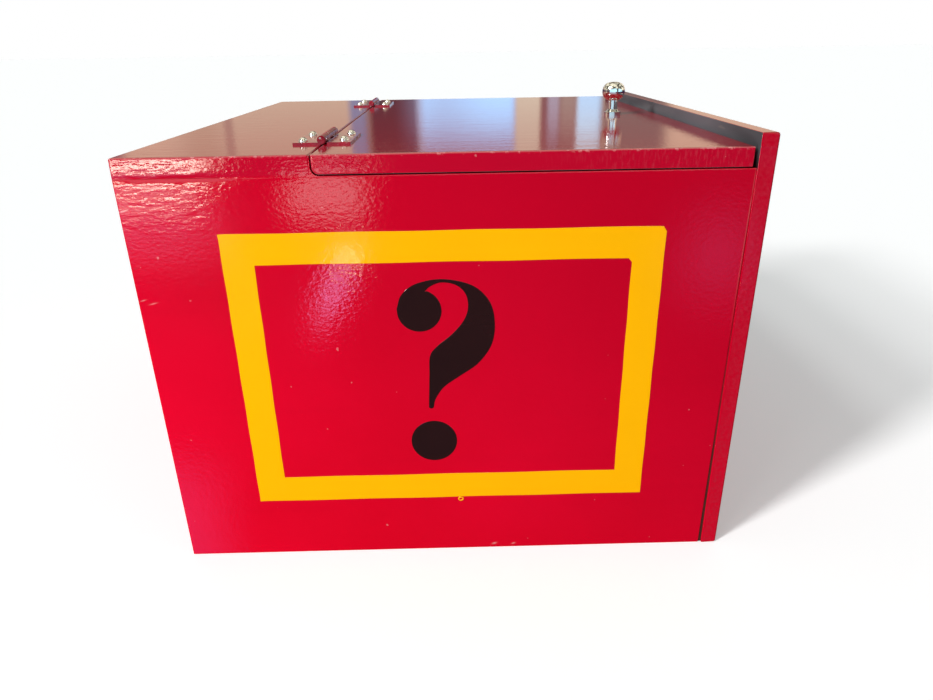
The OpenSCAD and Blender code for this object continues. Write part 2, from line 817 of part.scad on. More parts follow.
module left_hand() { hand(-1); }

module right_hand() { hand(1); }

left_side_panel();
right_side_panel();
rear_panel();
bottom_panel();
rear_top_board();
front_board();
lid();
panel_pins();
front_screws();
left_hinge_fixed_leaf();
left_hinge_lid_leaf();
left_hinge_pin();
right_hinge_fixed_leaf();
right_hinge_lid_leaf();
right_hinge_pin();
fixed_leaf_screws();
lid_leaf_screws();
knob();
knob_screw();
knob_washer();
catch_case();
catch_magnet();
catch_poles();
catch_screws();
strike_plate();
strike_screw();
jack_base();
base_screws();
spring();
lower_staples();
upper_staples();
shoulder_disc();
body_sleeve();
neck_peg();
head();
nose();
eyes();
cap();
cap_bells();
ruff();
left_arm();
right_arm();
left_hand();
right_hand();
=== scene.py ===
"""Jack in the box: finished surfaces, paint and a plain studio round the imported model.

Lengths are millimetres until a mesh is made. Meshes and shader nodes work in metres.
X runs from the back of the box to its front board, Y across it, Z up from the table.
"""

import math

import bmesh
import bpy
import numpy as np
from mathutils import Matrix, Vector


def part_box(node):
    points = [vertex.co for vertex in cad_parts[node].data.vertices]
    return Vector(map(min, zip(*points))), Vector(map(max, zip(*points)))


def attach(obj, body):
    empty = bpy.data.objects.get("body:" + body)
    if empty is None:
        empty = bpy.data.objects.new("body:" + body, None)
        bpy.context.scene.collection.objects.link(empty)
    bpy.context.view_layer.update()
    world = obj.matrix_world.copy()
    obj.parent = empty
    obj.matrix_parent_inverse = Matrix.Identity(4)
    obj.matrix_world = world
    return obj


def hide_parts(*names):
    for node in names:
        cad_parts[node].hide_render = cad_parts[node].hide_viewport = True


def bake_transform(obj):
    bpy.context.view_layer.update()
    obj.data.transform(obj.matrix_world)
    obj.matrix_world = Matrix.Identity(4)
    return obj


MM = 0.001
MERGE = 1e-7
SIDES = ((-1, "left"), (1, "right"))
UP = (0, 0, 1)
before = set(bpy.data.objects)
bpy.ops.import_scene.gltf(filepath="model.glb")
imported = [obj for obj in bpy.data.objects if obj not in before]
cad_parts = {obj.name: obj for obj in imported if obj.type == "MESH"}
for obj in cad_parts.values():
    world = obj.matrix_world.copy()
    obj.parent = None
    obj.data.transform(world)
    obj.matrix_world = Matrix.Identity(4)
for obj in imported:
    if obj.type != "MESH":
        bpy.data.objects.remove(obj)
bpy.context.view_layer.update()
scene = bpy.context.scene


def corners(node):
    """Lowest and highest corner of a CAD node, in millimetres."""
    low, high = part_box(node)
    return np.array(low) / MM, np.array(high) / MM


# -------------------- shapes


def round_angles(count):
    """Angles evenly round a full turn, the first not repeated."""
    return np.linspace(0, 2 * math.pi, count, endpoint=False)


def upright(flat, y):
    """Points given in X and Z, set at y."""
    return np.stack([flat[:, 0], np.broadcast_to(y, (len(flat),)), flat[:, 1]], 1)


def grid_faces(rows, cols):
    """Four-cornered faces between neighbouring rows of a grid whose last column joins the first."""
    index = np.arange(rows * cols).reshape(rows, cols)
    across = np.roll(index, -1, axis=1)
    return np.stack([index[:-1], across[:-1], across[1:], index[1:]], -1).reshape(-1, 4).tolist()


def closed_faces(rows, cols):
    """The same, with one face over each end."""
    last = (rows - 1) * cols
    return grid_faces(rows, cols) + [list(range(cols)), list(range(last, last + cols))]


def piece(name, parts, finish, body, attributes=None, smooth=True):
    """One object from several (points, faces) parts; equal points are merged and faces turned outwards."""
    points, faces, start = [], [], 0
    for part_points, part_faces in parts:
        points.append(np.asarray(part_points, float).reshape(-1, 3))
        faces += [[v + start for v in face] for face in part_faces]
        start += len(points[-1])
    mesh = bpy.data.meshes.new(name)
    mesh.from_pydata((np.concatenate(points) * MM).tolist(), [], faces)
    for key, values in (attributes or {}).items():
        mesh.attributes.new(key, "FLOAT", "POINT").data.foreach_set("value", np.asarray(values, np.float32).ravel())
    work = bmesh.new()
    work.from_mesh(mesh)
    bmesh.ops.remove_doubles(work, verts=work.verts, dist=MERGE)
    bmesh.ops.recalc_face_normals(work, faces=work.faces)
    work.to_mesh(mesh)
    work.free()
    mesh.polygons.foreach_set("use_smooth", np.full(len(mesh.polygons), smooth))
    mesh.materials.append(finish)
    obj = bpy.data.objects.new(name, mesh)
    scene.collection.objects.link(obj)
    if body:
        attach(obj, body)
    return obj


def loft(name, rows, finish, body, **more):
    """One object from rows of points, each joined to the next, with both ends closed."""
    return piece(name, [(rows, closed_faces(len(rows), len(rows[0])))], finish, body, **more)


def rounded_section(outline, radii, ease, step=6.0, support=0.15, arc_points=8):
    """A convex outline with rounded corners, anticlockwise in X and Z.

    At a corner the two sides are cut back by r tan(turn / 2) and joined by an arc of radius r.
    Returns points, outward normals and the easing that each point gets at the board's ends.
    """
    outline = np.asarray(outline, float)
    run = np.roll(outline, -1, 0) - outline
    length = np.linalg.norm(run, axis=1)
    way = run / length[:, None]
    out = np.stack([way[:, 1], -way[:, 0]], 1)
    facing = np.arctan2(out[:, 1], out[:, 0])
    turn = (facing - np.roll(facing, 1)) % (2 * math.pi)
    r = np.maximum(radii, support)
    cut = r * np.tan(turn / 2)
    soft = np.minimum(r, ease)
    points, normals, eases = [], [], []
    for i in range(len(outline)):
        after = (i + 1) % len(outline)
        centre = outline[i] - way[i - 1] * cut[i] - out[i - 1] * r[i]
        angle = facing[i - 1] + turn[i] * np.linspace(0, 1, arc_points)
        arc = np.stack([np.cos(angle), np.sin(angle)], 1)
        first, last = cut[i] + support, length[i] - cut[after] - support
        along = np.linspace(first, last, max(2, int((last - first) / step)))
        share = (along - first) / (last - first)
        points += [centre + r[i] * arc, outline[i] + along[:, None] * way[i]]
        normals += [arc, np.repeat(out[i][None], len(along), 0)]
        eases += [np.full(arc_points, soft[i]), soft[i] * (1 - share) + soft[after] * share]
    return np.concatenate(points), np.concatenate(normals), np.concatenate(eases)


def board(name, node, outline, span, radii, ease, inside, finish, body, step=6.0, lip=0.004):
    """A board: a rounded section carried along Y over span, its two ends eased by a quarter round.

    At angle a of the quarter round a point stands in by e (1 - cos a) and e (1 - sin a) short of the end.
    "edge" is 1 on the rounded edges, "inside" is 1 on the face that looks into the box.
    """
    section, out, e = rounded_section(outline, radii, ease)
    quarter = np.radians(np.linspace(90, 0, 6))
    y0, y1 = span
    rings = [(y0 + e * (1 - np.sin(a)), -1, a) for a in quarter]
    rings += [(y, 0, 0.0) for y in np.linspace(y0 + 2, y1 - 2, max(2, int((y1 - y0) / step)))]
    rings += [(y1 - e * (1 - np.sin(a)), 1, a) for a in quarter[::-1]]
    rows = [upright(section - out * (e * (1 - np.cos(a)))[:, None], y) for y, side, a in rings]
    normals = [upright(out * np.cos(a), side * np.sin(a)) for y, side, a in rings]
    middle = np.array([section[:, 0].mean(), 0, section[:, 1].mean()])
    first, last = (end + (middle + [0, end[0, 1], 0] - end) * lip for end in (rows[0], rows[-1]))
    flat = np.concatenate([np.tile([0.0, -1, 0.0], (len(e), 1)), *normals, np.tile([0.0, 1, 0.0], (len(e), 1))])
    edge = np.clip((1 - np.abs(flat).max(1)) / 0.28, 0, 1)
    inner = np.clip(flat @ np.asarray(inside, float), 0, 1) ** 2
    obj = loft(name, [first, *rows, last], finish, body, attributes={"edge": edge, "inside": inner})
    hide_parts(node)


def film(name, outline, y, thick, finish, body):
    """A thin layer of paint with the given outline in X and Z, on a face at y.

    thick is its height, with the sign of y.
    """
    run = np.roll(outline, -1, 0) - np.roll(outline, 1, 0)
    run /= np.linalg.norm(run, axis=1)[:, None]
    out = np.stack([run[:, 1], -run[:, 0]], 1)
    rows = [upright(outline - out * inset, y + thick * height)
            for inset, height in ((0.0, -0.03), (0.0, 0.5), (0.05, 0.86), (0.15, 1.0))]
    loft(name, rows, finish, body, smooth=False)


def spline(points, count):
    """A smooth curve through the points, by Catmull-Rom cubics, as count points."""
    p = np.asarray(points, float)
    p = np.concatenate([2 * p[:1] - p[1:2], p, 2 * p[-1:] - p[-2:-1]])
    t = np.linspace(0, len(p) - 3 - 1e-9, count)
    i = t.astype(int)
    u = (t - i)[:, None]
    a, b, c, d = p[i], p[i + 1], p[i + 2], p[i + 3]
    return 0.5 * (2 * b + (c - a) * u + (2 * a - 5 * b + 4 * c - d) * u ** 2 + (3 * b - a - 3 * c + d) * u ** 3)


def bezier(p, t):
    """The cubic (1-t)^3 a + 3 t (1-t)^2 b + 3 t^2 (1-t) c + t^3 d."""
    p, t = np.asarray(p, float), t[:, None]
    return (1 - t) ** 3 * p[0] + 3 * t * (1 - t) ** 2 * p[1] + 3 * t ** 2 * (1 - t) * p[2] + t ** 3 * p[3]


def tube(path, radius, up, sides, flatten=1.0):
    """Rings round a path: centre + r (cos a · side + sin a · over), where side = up x run and over = run x side."""
    run = np.gradient(path, axis=0)
    run /= np.linalg.norm(run, axis=1)[:, None]
    side = np.cross(np.broadcast_to(np.asarray(up, float), run.shape), run)
    side /= np.linalg.norm(side, axis=1)[:, None]
    over = np.cross(run, side)
    angle = round_angles(sides)[None, :, None]
    radius = np.asarray(radius, float)
    r = radius if radius.ndim == 2 else np.broadcast_to(radius, (len(path),))[:, None]
    return path[:, None] + (np.cos(angle) * side[:, None] * flatten + np.sin(angle) * over[:, None]) * r[..., None]


def closed_tube(*settings):
    """A tube with flat closed ends, as points and faces."""
    points = tube(*settings)
    return points, closed_faces(*points.shape[:2])


def ring_tube(path, radius, up, sides):
    """A tube round a path whose end joins its start, as points and faces."""
    index = np.arange(-1, len(path) + 1) % len(path)
    points = tube(path[index], np.broadcast_to(radius, (len(path),))[index], up, sides)[1:-1]
    return np.concatenate([points, points[:1]]), grid_faces(len(path) + 1, sides)


# -------------------- finishes


def add_node(tree, kind, inputs=(), **settings):
    """One shader node. inputs gives sockets by name or place a number, a colour, a Field or another node's output."""
    node = tree.nodes.new("ShaderNode" + kind)
    for key, value in settings.items():
        setattr(node, key, value)
    for place, value in dict(inputs).items():
        value, socket = getattr(value, "socket", value), node.inputs[place]
        if isinstance(value, bpy.types.NodeSocket):
            tree.links.new(value, socket)
        elif isinstance(value, tuple) and len(value) < len(socket.default_value):
            socket.default_value = (*value, 1.0)
        else:
            socket.default_value = value
    return node


def mixed(tree, share, first, second):
    """A colour that goes from first to second as share goes from 0 to 1."""
    return add_node(tree, "Mix", {0: share, 6: first, 7: second}, data_type="RGBA").outputs[2]


class Field:
    """A number that varies over a surface, carried by Math nodes."""

    def __init__(self, tree, socket):
        self.tree, self.socket = tree, socket

    def math(self, kind, *others):
        return Field(self.tree, add_node(self.tree, "Math", enumerate((self, *others)), operation=kind).outputs[0])

    def __add__(self, other):
        return self.math("ADD", other)

    def __sub__(self, other):
        return self.math("SUBTRACT", other)

    def __mul__(self, other):
        return self.math("MULTIPLY", other)

    def __truediv__(self, other):
        return self.math("DIVIDE", other)

    def between(self, low, high):
        """0 below low, 1 above high, smooth from one to the other; high may be the lower of the two."""
        flip = float(low > high)
        node = add_node(self.tree, "MapRange", {
            "Value": self, "From Min": min(low, high), "From Max": max(low, high),
            "To Min": flip, "To Max": 1.0 - flip,
        }, interpolation_type="SMOOTHSTEP")
        return Field(self.tree, node.outputs["Result"])

    def bell(self, centre, width):
        """exp(-((v - centre) / width)^2)"""
        offset = (self - centre) / width
        return (offset * offset * -1.0).math("EXPONENT")


class Finish:
    """A material with one Principled shader and the few nodes that its fields and colours need."""

    def __init__(self, name, **numbers):
        self.material = bpy.data.materials.new(name)
        self.material.use_nodes = True
        self.tree = self.material.node_tree
        self.shader = self.tree.nodes["Principled BSDF"]
        self.place = add_node(self.tree, "TexCoord").outputs["Object"]
        for key, value in numbers.items():
            self.shader.inputs[key.replace("_", " ").title().replace("Ior", "IOR")].default_value = value

    def field(self, kind, inputs=(), output=0, **settings):
        return Field(self.tree, add_node(self.tree, kind, inputs, **settings).outputs[output])

    def noise(self, scale, detail=2.0, stretch=(1, 1, 1), distort=0.0, shift=(0, 0, 0)):
        place = self.field("Mapping", {"Vector": self.place, "Scale": stretch, "Location": shift})
        return self.field("TexNoise", {"Vector": place, "Scale": scale, "Detail": detail, "Distortion": distort})

    def axes(self, place=None):
        node = add_node(self.tree, "SeparateXYZ", {0: place or self.place})
        return [Field(self.tree, out) for out in node.outputs]

    def attribute(self, name):
        return self.field("Attribute", output="Fac", attribute_name=name)

    def mix(self, share, first, second):
        return mixed(self.tree, share, first, second)

    def link(self, value, key):
        self.tree.links.new(getattr(value, "socket", value), self.shader.inputs[key])

    def colour(self, value):
        self.link(value, "Base Color")

    def bump(self, *layers, coat=False):
        """Layers of (height field, depth in millimetres), one Bump node after another."""
        below = {}
        for height, depth in layers:
            below = {"Normal": self.field("Bump", {"Distance": depth * MM, "Height": height, **below}, "Normal")}
        for key in ("Normal", "Coat Normal")[:1 + coat]:
            self.link(below["Normal"], key)


def red_enamel(name, across=False, marks=()):
    """Brushed crimson enamel: a thick glossy coat with orange peel, brush lines, ripples by the joint and small
    chipped spots; painted shade makes it darker towards the top and front, and painted highlights and sheen lie along
    edges and ends.

    across is for the boards that run from side to side, whose ends show beside the side panels.
    marks are small scratches and stopped nail holes on the left face, as (x, z, half length, half height).
    """
    f = Finish(name, roughness=0.5, coat_weight=1.0, coat_roughness=0.06, coat_ior=1.5, specular_ior_level=0.0)
    x, y, z = f.axes()
    edge, inside = f.attribute("edge"), f.attribute("inside")
    away = y.math("ABSOLUTE")
    near_front = x.between(0.125, 0.131)
    streaks = f.noise(60.0, 3.0, stretch=(1, 0.08, 1) if across else (0.08, 1, 1))
    red = f.mix(f.noise(9.0, 3.0).between(0.3, 0.75), (0.55, 0.0006, 0.0125), (0.63, 0.0009, 0.019))
    # Painted shade: the red goes darker towards the top and the front of each board.
    red = f.mix((z + x * 0.6).between(-0.05, 0.27) * 0.9, red, (0.42, 0.0004, 0.0140))
    red = f.mix(streaks.between(0.55, 0.85) * 0.22, red, (0.43, 0.0004, 0.012))
    # Pale chipped spots along the rounded edges and here and there; along the edges they are partly painted highlight.
    chips_and_highlights = (f.noise(520.0, 2.0).between(0.70, 0.76) * edge.between(0.25, 0.9)
             + f.noise(330.0, 1.0, shift=(3, 1, 2)).between(0.815, 0.835) * 0.5)
    raw = inside.between(0.35, 0.6)
    end_bumps = []
    if across:
        end = away.between(0.1578, 0.1587)
        lid_end = end * z.between(0.1974, 0.1978) * z.between(0.2064, 0.2060)
        # Painted sheen: pale pink streaks on the lid's near end, towards its front.
        sheen_streaks = f.noise(950.0, 3.0, stretch=(1, 1, 0.22)).between(0.48, 0.68)
        red = f.mix(lid_end * 0.75, red, (0.42, 0.002, 0.020))
        red = f.mix(sheen_streaks * lid_end * x.between(0.02, 0.10) * 0.32, red, (0.46, 0.040, 0.065))
        mottle = end * x.between(0.1324, 0.1328) * f.noise(620.0, 3.0).between(0.25, 0.90)
        red = f.mix(mottle, red, (0.44, 0.012, 0.030))
        # Painted highlights: pale lines along the lid's front edge, round the lid's heel and along its back top edge.
        heel = away.bell(0.15865, 0.00020) * x.between(-0.0500, -0.0530) * x.between(-0.0569, -0.0564)
        lines = (edge.between(0.2, 0.8) * x.bell(0.1301, 0.0007) * z.between(0.196, 0.198) + heel * 1.3
                 + x.bell(-0.0558, 0.0004) * z.between(0.2054, 0.2059) * 0.9)
        # Painted highlight: a pale speckled line along the top edge of the lid's and the rear top board's ends.
        rim = end * z.between(0.2047, 0.2057) * x.between(0.1318, 0.1312)
        chips_and_highlights = chips_and_highlights + f.noise(620.0, 3.0).between(0.55, 0.66) * rim * 0.6 + rim * z.between(0.2054, 0.2058) * 0.3
        raw = raw * (away.between(0.151, 0.150) + z.between(0.196, 0.1965)).math("MINIMUM", 1.0)
        strokes = f.noise(150.0, 5.0, stretch=(0.13, 1, 1)) * z.between(0.2052, 0.2058)
        bubbles = f.noise(330.0, 2.0, stretch=(0.8, 1, 1.2)).between(0.50, 0.62) * x.bell(-0.045, 0.010)
        end_bumps = [(strokes, 0.045), (bubbles * end, 0.06)]
    else:
        # Painted highlight: a pale line down the upper part of the side's front edge.
        lines = (x - z * 0.0112).bell(0.1295, 0.00025) * z.between(0.11, 0.18) * 0.40
    for at_x, at_z, half, height in marks:
        chips_and_highlights = chips_and_highlights + (x.bell(at_x * MM, half * MM) * (z - x * 0.25).bell((at_z - at_x * 0.25) * MM, height * MM)
                         * y.between(-0.150, -0.156))
    # The painted highlight lines, broken up by noise.
    wear_and_highlights = f.noise(120.0, 3.0, stretch=(1, 1, 0.5)).between(0.30, 0.55) * lines
    red = f.mix((chips_and_highlights + wear_and_highlights * 0.75).math("MINIMUM", 1.0), red, (0.62, 0.22, 0.22))
    bare = f.noise(75.0, 5.0, stretch=(0.6, 0.15, 1)).between(0.35, 0.7)
    scuffs = f.noise(210.0, 4.0, stretch=(1, 0.2, 1), shift=(1, 4, 2)).between(0.66, 0.72)
    grey = f.mix(bare, (0.085, 0.085, 0.092), (0.150, 0.148, 0.156))
    grey = f.mix(scuffs * 0.6, grey, (0.20, 0.18, 0.15))
    grey = f.mix(away.between(0.08, 0.155) * near_front * 0.6, grey, (0.040, 0.038, 0.041))
    grey = f.mix(y.bell(-0.075, 0.05) * near_front * 0.5, grey, (0.21, 0.20, 0.22))
    # Painted shade: the grey goes nearly black on the front board's inner face beside the lid's end, in the slot
    # between them.
    grey = f.mix(z.between(0.2065, 0.1975) * z.between(0.190, 0.194) * near_front, grey, (0.022, 0.009, 0.011))
    f.colour(f.mix(raw, red, grey))
    f.link(raw * -1.0 + 1.0, "Coat Weight")
    f.link(raw * 0.2 + 0.5, "Roughness")
    peel = f.noise(820.0, 1.5, stretch=(0.7, 1, 1))
    swell = f.noise(90.0, 2.0, stretch=(1, 1, 0.5))
    ripple = f.noise(210.0, 2.5, stretch=(0.42, 1, 1.7), distort=0.5)
    ripple = ripple * x.between(-0.086, -0.106) * z.between(0.166, 0.184)
    joint = f.noise(60.0, 2.0, stretch=(0.6, 1, 1)).between(0.3, 0.6)
    joint = joint * z.bell(0.1972, 0.0012) * x.between(-0.055, -0.125)
    f.bump((swell, 0.022), (peel, 0.032), (ripple, 0.09), (joint * -1.0, 0.21), *end_bumps,
           (streaks, 0.006), (bare * inside, 0.10), coat=True)
    return f.material


def seam_paint_and_shade():
    """A strip in the seam behind the front board: crimson paint near the top, going dark brown lower down as painted
    shade where the gap widens.
    """
    f = Finish("seam_paint_and_shade", roughness=0.55, specular_ior_level=0.2)
    share = (f.axes()[2] + (f.noise(60.0, 3.0) - 0.5) * 0.06).between(0.02, 0.15)
    f.colour(f.mix(share, (0.055, 0.016, 0.010), (0.33, 0.004, 0.016)))
    f.bump((f.noise(300.0, 2.0), 0.10))
    return f.material


def flat_paint(name, low, high):
    """Sign paint laid on by hand: faint brush lines, small bubbles and an even gloss, made lighter towards the front,
    where the lamps light it less, as painted light.
    """
    f = Finish(name, roughness=0.5, coat_weight=0.7, coat_roughness=0.08, specular_ior_level=0.0)
    lines = f.noise(110.0, 3.0, stretch=(0.25, 1, 1))
    # Painted light: the tone rises towards the front, where less lamp light falls.
    tone = (f.noise(28.0, 3.0) - 0.5) * 0.7 + (lines - 0.5) * 0.3 + f.axes()[0] * 3.2 + 0.5
    f.colour(f.mix(tone.between(0.1, 0.9), low, high))
    f.bump((f.noise(90.0, 2.0), 0.05), (f.noise(600.0, 1.5), 0.02), (lines, 0.01), coat=True)
    return f.material


def hinge_enamel():
    """The box's enamel over steel, gone through to bright metal in small spots."""
    f = Finish("hinge_enamel", roughness=0.45, coat_roughness=0.08, specular_ior_level=0.0)
    f.link(f.axes()[2].between(0.2080, 0.2074) * 0.45 + 0.55, "Coat Weight")
    wear_and_highlights = f.noise(480.0, 3.0).between(0.62, 0.68)
    red = f.mix(f.noise(160.0, 2.0).between(0.3, 0.7), (0.32, 0.005, 0.024), (0.52, 0.010, 0.04))
    f.colour(f.mix(wear_and_highlights, red, (0.60, 0.50, 0.46)))
    f.link(wear_and_highlights * 0.8, "Metallic")
    f.bump((f.noise(300.0, 2.0), 0.06), (wear_and_highlights * -1.0, 0.05), coat=True)
    return f.material


def plated(name, tone, rough, scratch=0.02):
    """Plated steel: fine polishing lines, a little dullness in patches."""
    f = Finish(name, metallic=1.0)
    dull = f.noise(150.0, 3.0)
    f.colour(f.mix(dull.between(0.4, 0.8), tone, tuple(0.78 * c for c in tone)))
    f.link(dull.between(0.3, 0.8) * 0.12 + rough, "Roughness")
    f.bump((f.noise(900.0, 2.0, stretch=(1, 1, 0.15)), scratch))
    return f.material


def bare_wood():
    """Sanded beech: long grain, short dark flecks and fine pores."""
    f = Finish("sanded_beech", roughness=0.58, specular_ior_level=0.35)
    grain = f.noise(38.0, 5.0, stretch=(1, 0.12, 1), distort=0.4)
    fleck = f.noise(420.0, 2.0, stretch=(1, 0.22, 1)).between(0.60, 0.70)
    tone = f.mix(grain.between(0.3, 0.7), (0.56, 0.37, 0.20), (0.76, 0.56, 0.34))
    f.colour(f.mix(fleck * 0.55, tone, (0.38, 0.22, 0.11)))
    f.bump((grain, 0.06), (fleck * -1.0, 0.05))
    return f.material


def felt(name, low, high, fuzz=0.35):
    """Pressed wool felt: matted fibres, soft sheen and a little shading from wear."""
    f = Finish(name, roughness=0.95, sheen_weight=fuzz, sheen_roughness=0.5, specular_ior_level=0.1)
    fibres = f.noise(700.0, 6.0, distort=1.2)
    f.colour(f.mix((fibres * 0.6 + f.noise(60.0, 3.0) * 0.4).between(0.3, 0.7), low, high))
    f.bump((fibres, 0.22), (f.noise(120.0, 3.0), 0.25))
    return f.material


def cotton(name, low, high, pitch=0.55):
    """Woven cotton on the piece's own UV map in millimetres: warp and weft cross as two sine waves, with slubs."""
    f = Finish(name, roughness=0.88, sheen_weight=0.2, sheen_roughness=0.4, specular_ior_level=0.15)
    u, v, _ = f.axes(add_node(f.tree, "TexCoord").outputs["UV"])
    turn = 2 * math.pi / pitch
    weave = (u * turn).math("SINE") * (v * turn).math("SINE") * 0.5 + 0.5
    slub = f.noise(90.0, 4.0, stretch=(1, 1, 0.3))
    f.colour(f.mix((weave * 0.45 + slub * 0.75).between(0.25, 0.95), low, high))
    f.bump((weave, 0.10), (slub, 0.20))
    return f.material


def head_paint():
    """Satin paint on turned wood: warm skin tone, soft round cheeks, faint turning rings."""
    f = Finish("head_paint", roughness=0.38, coat_weight=0.35, coat_roughness=0.25)
    centre = np.array([(head_low[0] + head_high[0]) / 2, 0.0, head_high[2] - HEAD_R])
    skin = f.mix(f.noise(45.0, 3.0).between(0.3, 0.7), (0.80, 0.50, 0.34), (0.88, 0.60, 0.43))
    for side, _ in SIDES:
        aim = np.array([0.80, side * 0.52, -0.24])
        spot = tuple((centre + aim / np.linalg.norm(aim) * HEAD_R) * MM)
        far = f.field("VectorMath", {0: f.place, 1: spot}, "Value", operation="DISTANCE")
        skin = f.mix(far.between(0.0085, 0.003) * 0.75, skin, (0.80, 0.20, 0.17))
    f.colour(skin)
    rings = f.field("TexWave", {"Vector": f.place, "Scale": 700.0, "Distortion": 0.5}, "Fac", bands_direction="Z")
    f.bump((f.noise(300.0, 2.0), 0.03), (rings, 0.008))
    return f.material


def gloss_paint(name, low, high):
    """Gloss paint on a small turned or moulded piece."""
    f = Finish(name, roughness=0.3, coat_weight=0.8, coat_roughness=0.06)
    f.colour(f.mix(f.noise(120.0, 3.0).between(0.35, 0.7), low, high))
    f.bump((f.noise(500.0, 2.0), 0.02), (f.noise(140.0, 2.0), 0.06), coat=True)
    return f.material


def moulded(name, low, high, rough=0.45):
    """Moulded plastic or pressed ferrite: a fine grain and faint scuffs."""
    f = Finish(name)
    scuff = f.noise(240.0, 5.0, stretch=(1, 0.3, 1))
    f.colour(f.mix(scuff.between(0.4, 0.8), low, high))
    f.link(scuff.between(0.3, 0.8) * 0.2 + rough, "Roughness")
    f.bump((f.noise(1500.0, 2.0), 0.02))
    return f.material


head_low, head_high = corners("head")
HEAD_R = (head_high[0] - head_low[0]) / 2

CHROME = plated("chrome_plate", (0.86, 0.87, 0.88), 0.05)
STEEL = plated("zinc_plate", (0.62, 0.63, 0.65), 0.28, 0.04)
BRASS = plated("polished_brass", (0.83, 0.58, 0.20), 0.14, 0.03)
WOOD = bare_wood()
RED_LONG = red_enamel("crimson_enamel", marks=[
    (-137.8, 184.0, 1.9, 0.35), (-133.4, 142.0, 1.5, 0.25), (-137.6, 143.6, 1.1, 0.22), (-127.2, 163.2, 0.4, 0.5),
    (20.8, 2.6, 1.1, 0.5), (31.0, 2.3, 0.9, 0.4)])
RED_ACROSS = red_enamel("crimson_enamel_across", across=True)
RED_SCREW = gloss_paint("crimson_over_screws", (0.42, 0.0005, 0.012), (0.56, 0.0008, 0.018))
HINGE = hinge_enamel()
SEAM = seam_paint_and_shade()
YELLOW = flat_paint("yellow_enamel", (0.82, 0.39, 0.0), (0.87, 0.415, 0.0))
BLACK = flat_paint("black_enamel", (0.014, 0.0055, 0.0055), (0.018, 0.0065, 0.0065))
PLASTIC = moulded("black_plastic", (0.018, 0.018, 0.020), (0.035, 0.035, 0.038))
FERRITE = moulded("dark_ferrite", (0.045, 0.045, 0.050), (0.075, 0.075, 0.080), 0.6)
HEAD = head_paint()
NOSE = gloss_paint("red_nose_paint", (0.55, 0.012, 0.012), (0.66, 0.02, 0.02))
EYE = gloss_paint("black_eye_enamel", (0.012, 0.012, 0.014), (0.020, 0.020, 0.022))
LIP = gloss_paint("lip_paint", (0.42, 0.03, 0.03), (0.50, 0.045, 0.04))
BROW = gloss_paint("brow_paint", (0.09, 0.040, 0.020), (0.13, 0.06, 0.03))
GREEN = felt("green_felt", (0.012, 0.14, 0.055), (0.026, 0.24, 0.10))
GOLD = felt("gold_felt", (0.62, 0.36, 0.03), (0.80, 0.50, 0.07))
GLOVE = felt("white_felt", (0.76, 0.74, 0.68), (0.88, 0.86, 0.80), 0.2)
BLUE = cotton("blue_cotton", (0.018, 0.065, 0.26), (0.045, 0.14, 0.44))
WHITE = cotton("white_cotton", (0.70, 0.68, 0.62), (0.90, 0.88, 0.83), 0.7)

for finish, names in (
    (CHROME, ["knob", "fixed_leaf_screws", "lid_leaf_screws"]),
    (STEEL, ["knob_screw", "knob_washer", "catch_poles", "catch_screws", "strike_plate", "strike_screw",
             "panel_pins", "base_screws", "lower_staples", "upper_staples"]),
    (WOOD, ["jack_base", "shoulder_disc", "neck_peg"]),
    (HINGE, [f"{label}_hinge_{part}" for _, label in SIDES for part in ("fixed_leaf", "lid_leaf", "pin")]),
    (BRASS, ["cap_bells"]), (RED_SCREW, ["front_screws"]), (PLASTIC, ["catch_case"]), (FERRITE, ["catch_magnet"]),
    (HEAD, ["head"]), (NOSE, ["nose"]), (EYE, ["eyes"]),
):
    for node in names:
        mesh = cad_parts[node].data
        mesh.materials.clear()
        mesh.materials.append(finish)

# -------------------- boards

side_low, side_high = corners("left_side_panel")
back_x, side_x, side_z = side_low[0], side_high[0], side_high[2]
outer_y, inner_y = -side_low[1], -side_high[1]
foot_x = corners("bottom_panel")[1][0]
for side, label in SIDES:
    board(f"{label}_side", f"{label}_side_panel",
          [(back_x, 0), (foot_x + 0.6, 0), (side_x, side_z), (back_x, side_z)],
          sorted((side * outer_y, side * inner_y)), [0.5, 0.4, 0.4, 0.15], [0.9, 0.35, 0.35, 0.15],
          (0, -side, 0), RED_LONG, "root")

# Radii and easing run lower back, lower front, upper front, upper back; trim draws the back and the front face in
for name, node, radii, ease, trim, inside, body in (
    ("rear_face", "rear_panel", [0.5, 0.15, 0.15, 0.2], [0.15] * 4, (0, 0), (1, 0, 0), "root"),
    ("floor_board", "bottom_panel", [0.15, 0.5, 0.15, 0.15], [0.15] * 4, (0, 0), UP, "root"),
    ("rear_top", "rear_top_board", [0.2, 0.2, 0.6, 1.0], [0.2, 0.2, 0.7, 0.7], (0, 0), (0, 0, -1), "root"),
    ("front_face", "front_board", [0.4, 1.2, 1.2, 0.4], [0.35, 0.9, 0.9, 0.35], (-0.4, 0.1), (-1, 0, 0), "root"),
    ("lid_board", "lid", [3.0, 0.4, 0.4, 0.5], [0.7, 0.35, 0.35, 0.5], (0, -0.9), (0, 0, -1), "lid"),
):
    low, high = corners(node)
    back, front = low[0] + trim[0], high[0] - trim[1]
    board(name, node, [(back, low[2]), (front, low[2]), (front, high[2]), (back, high[2])], (low[1], high[1]),
          radii, ease, inside, RED_ACROSS, body)

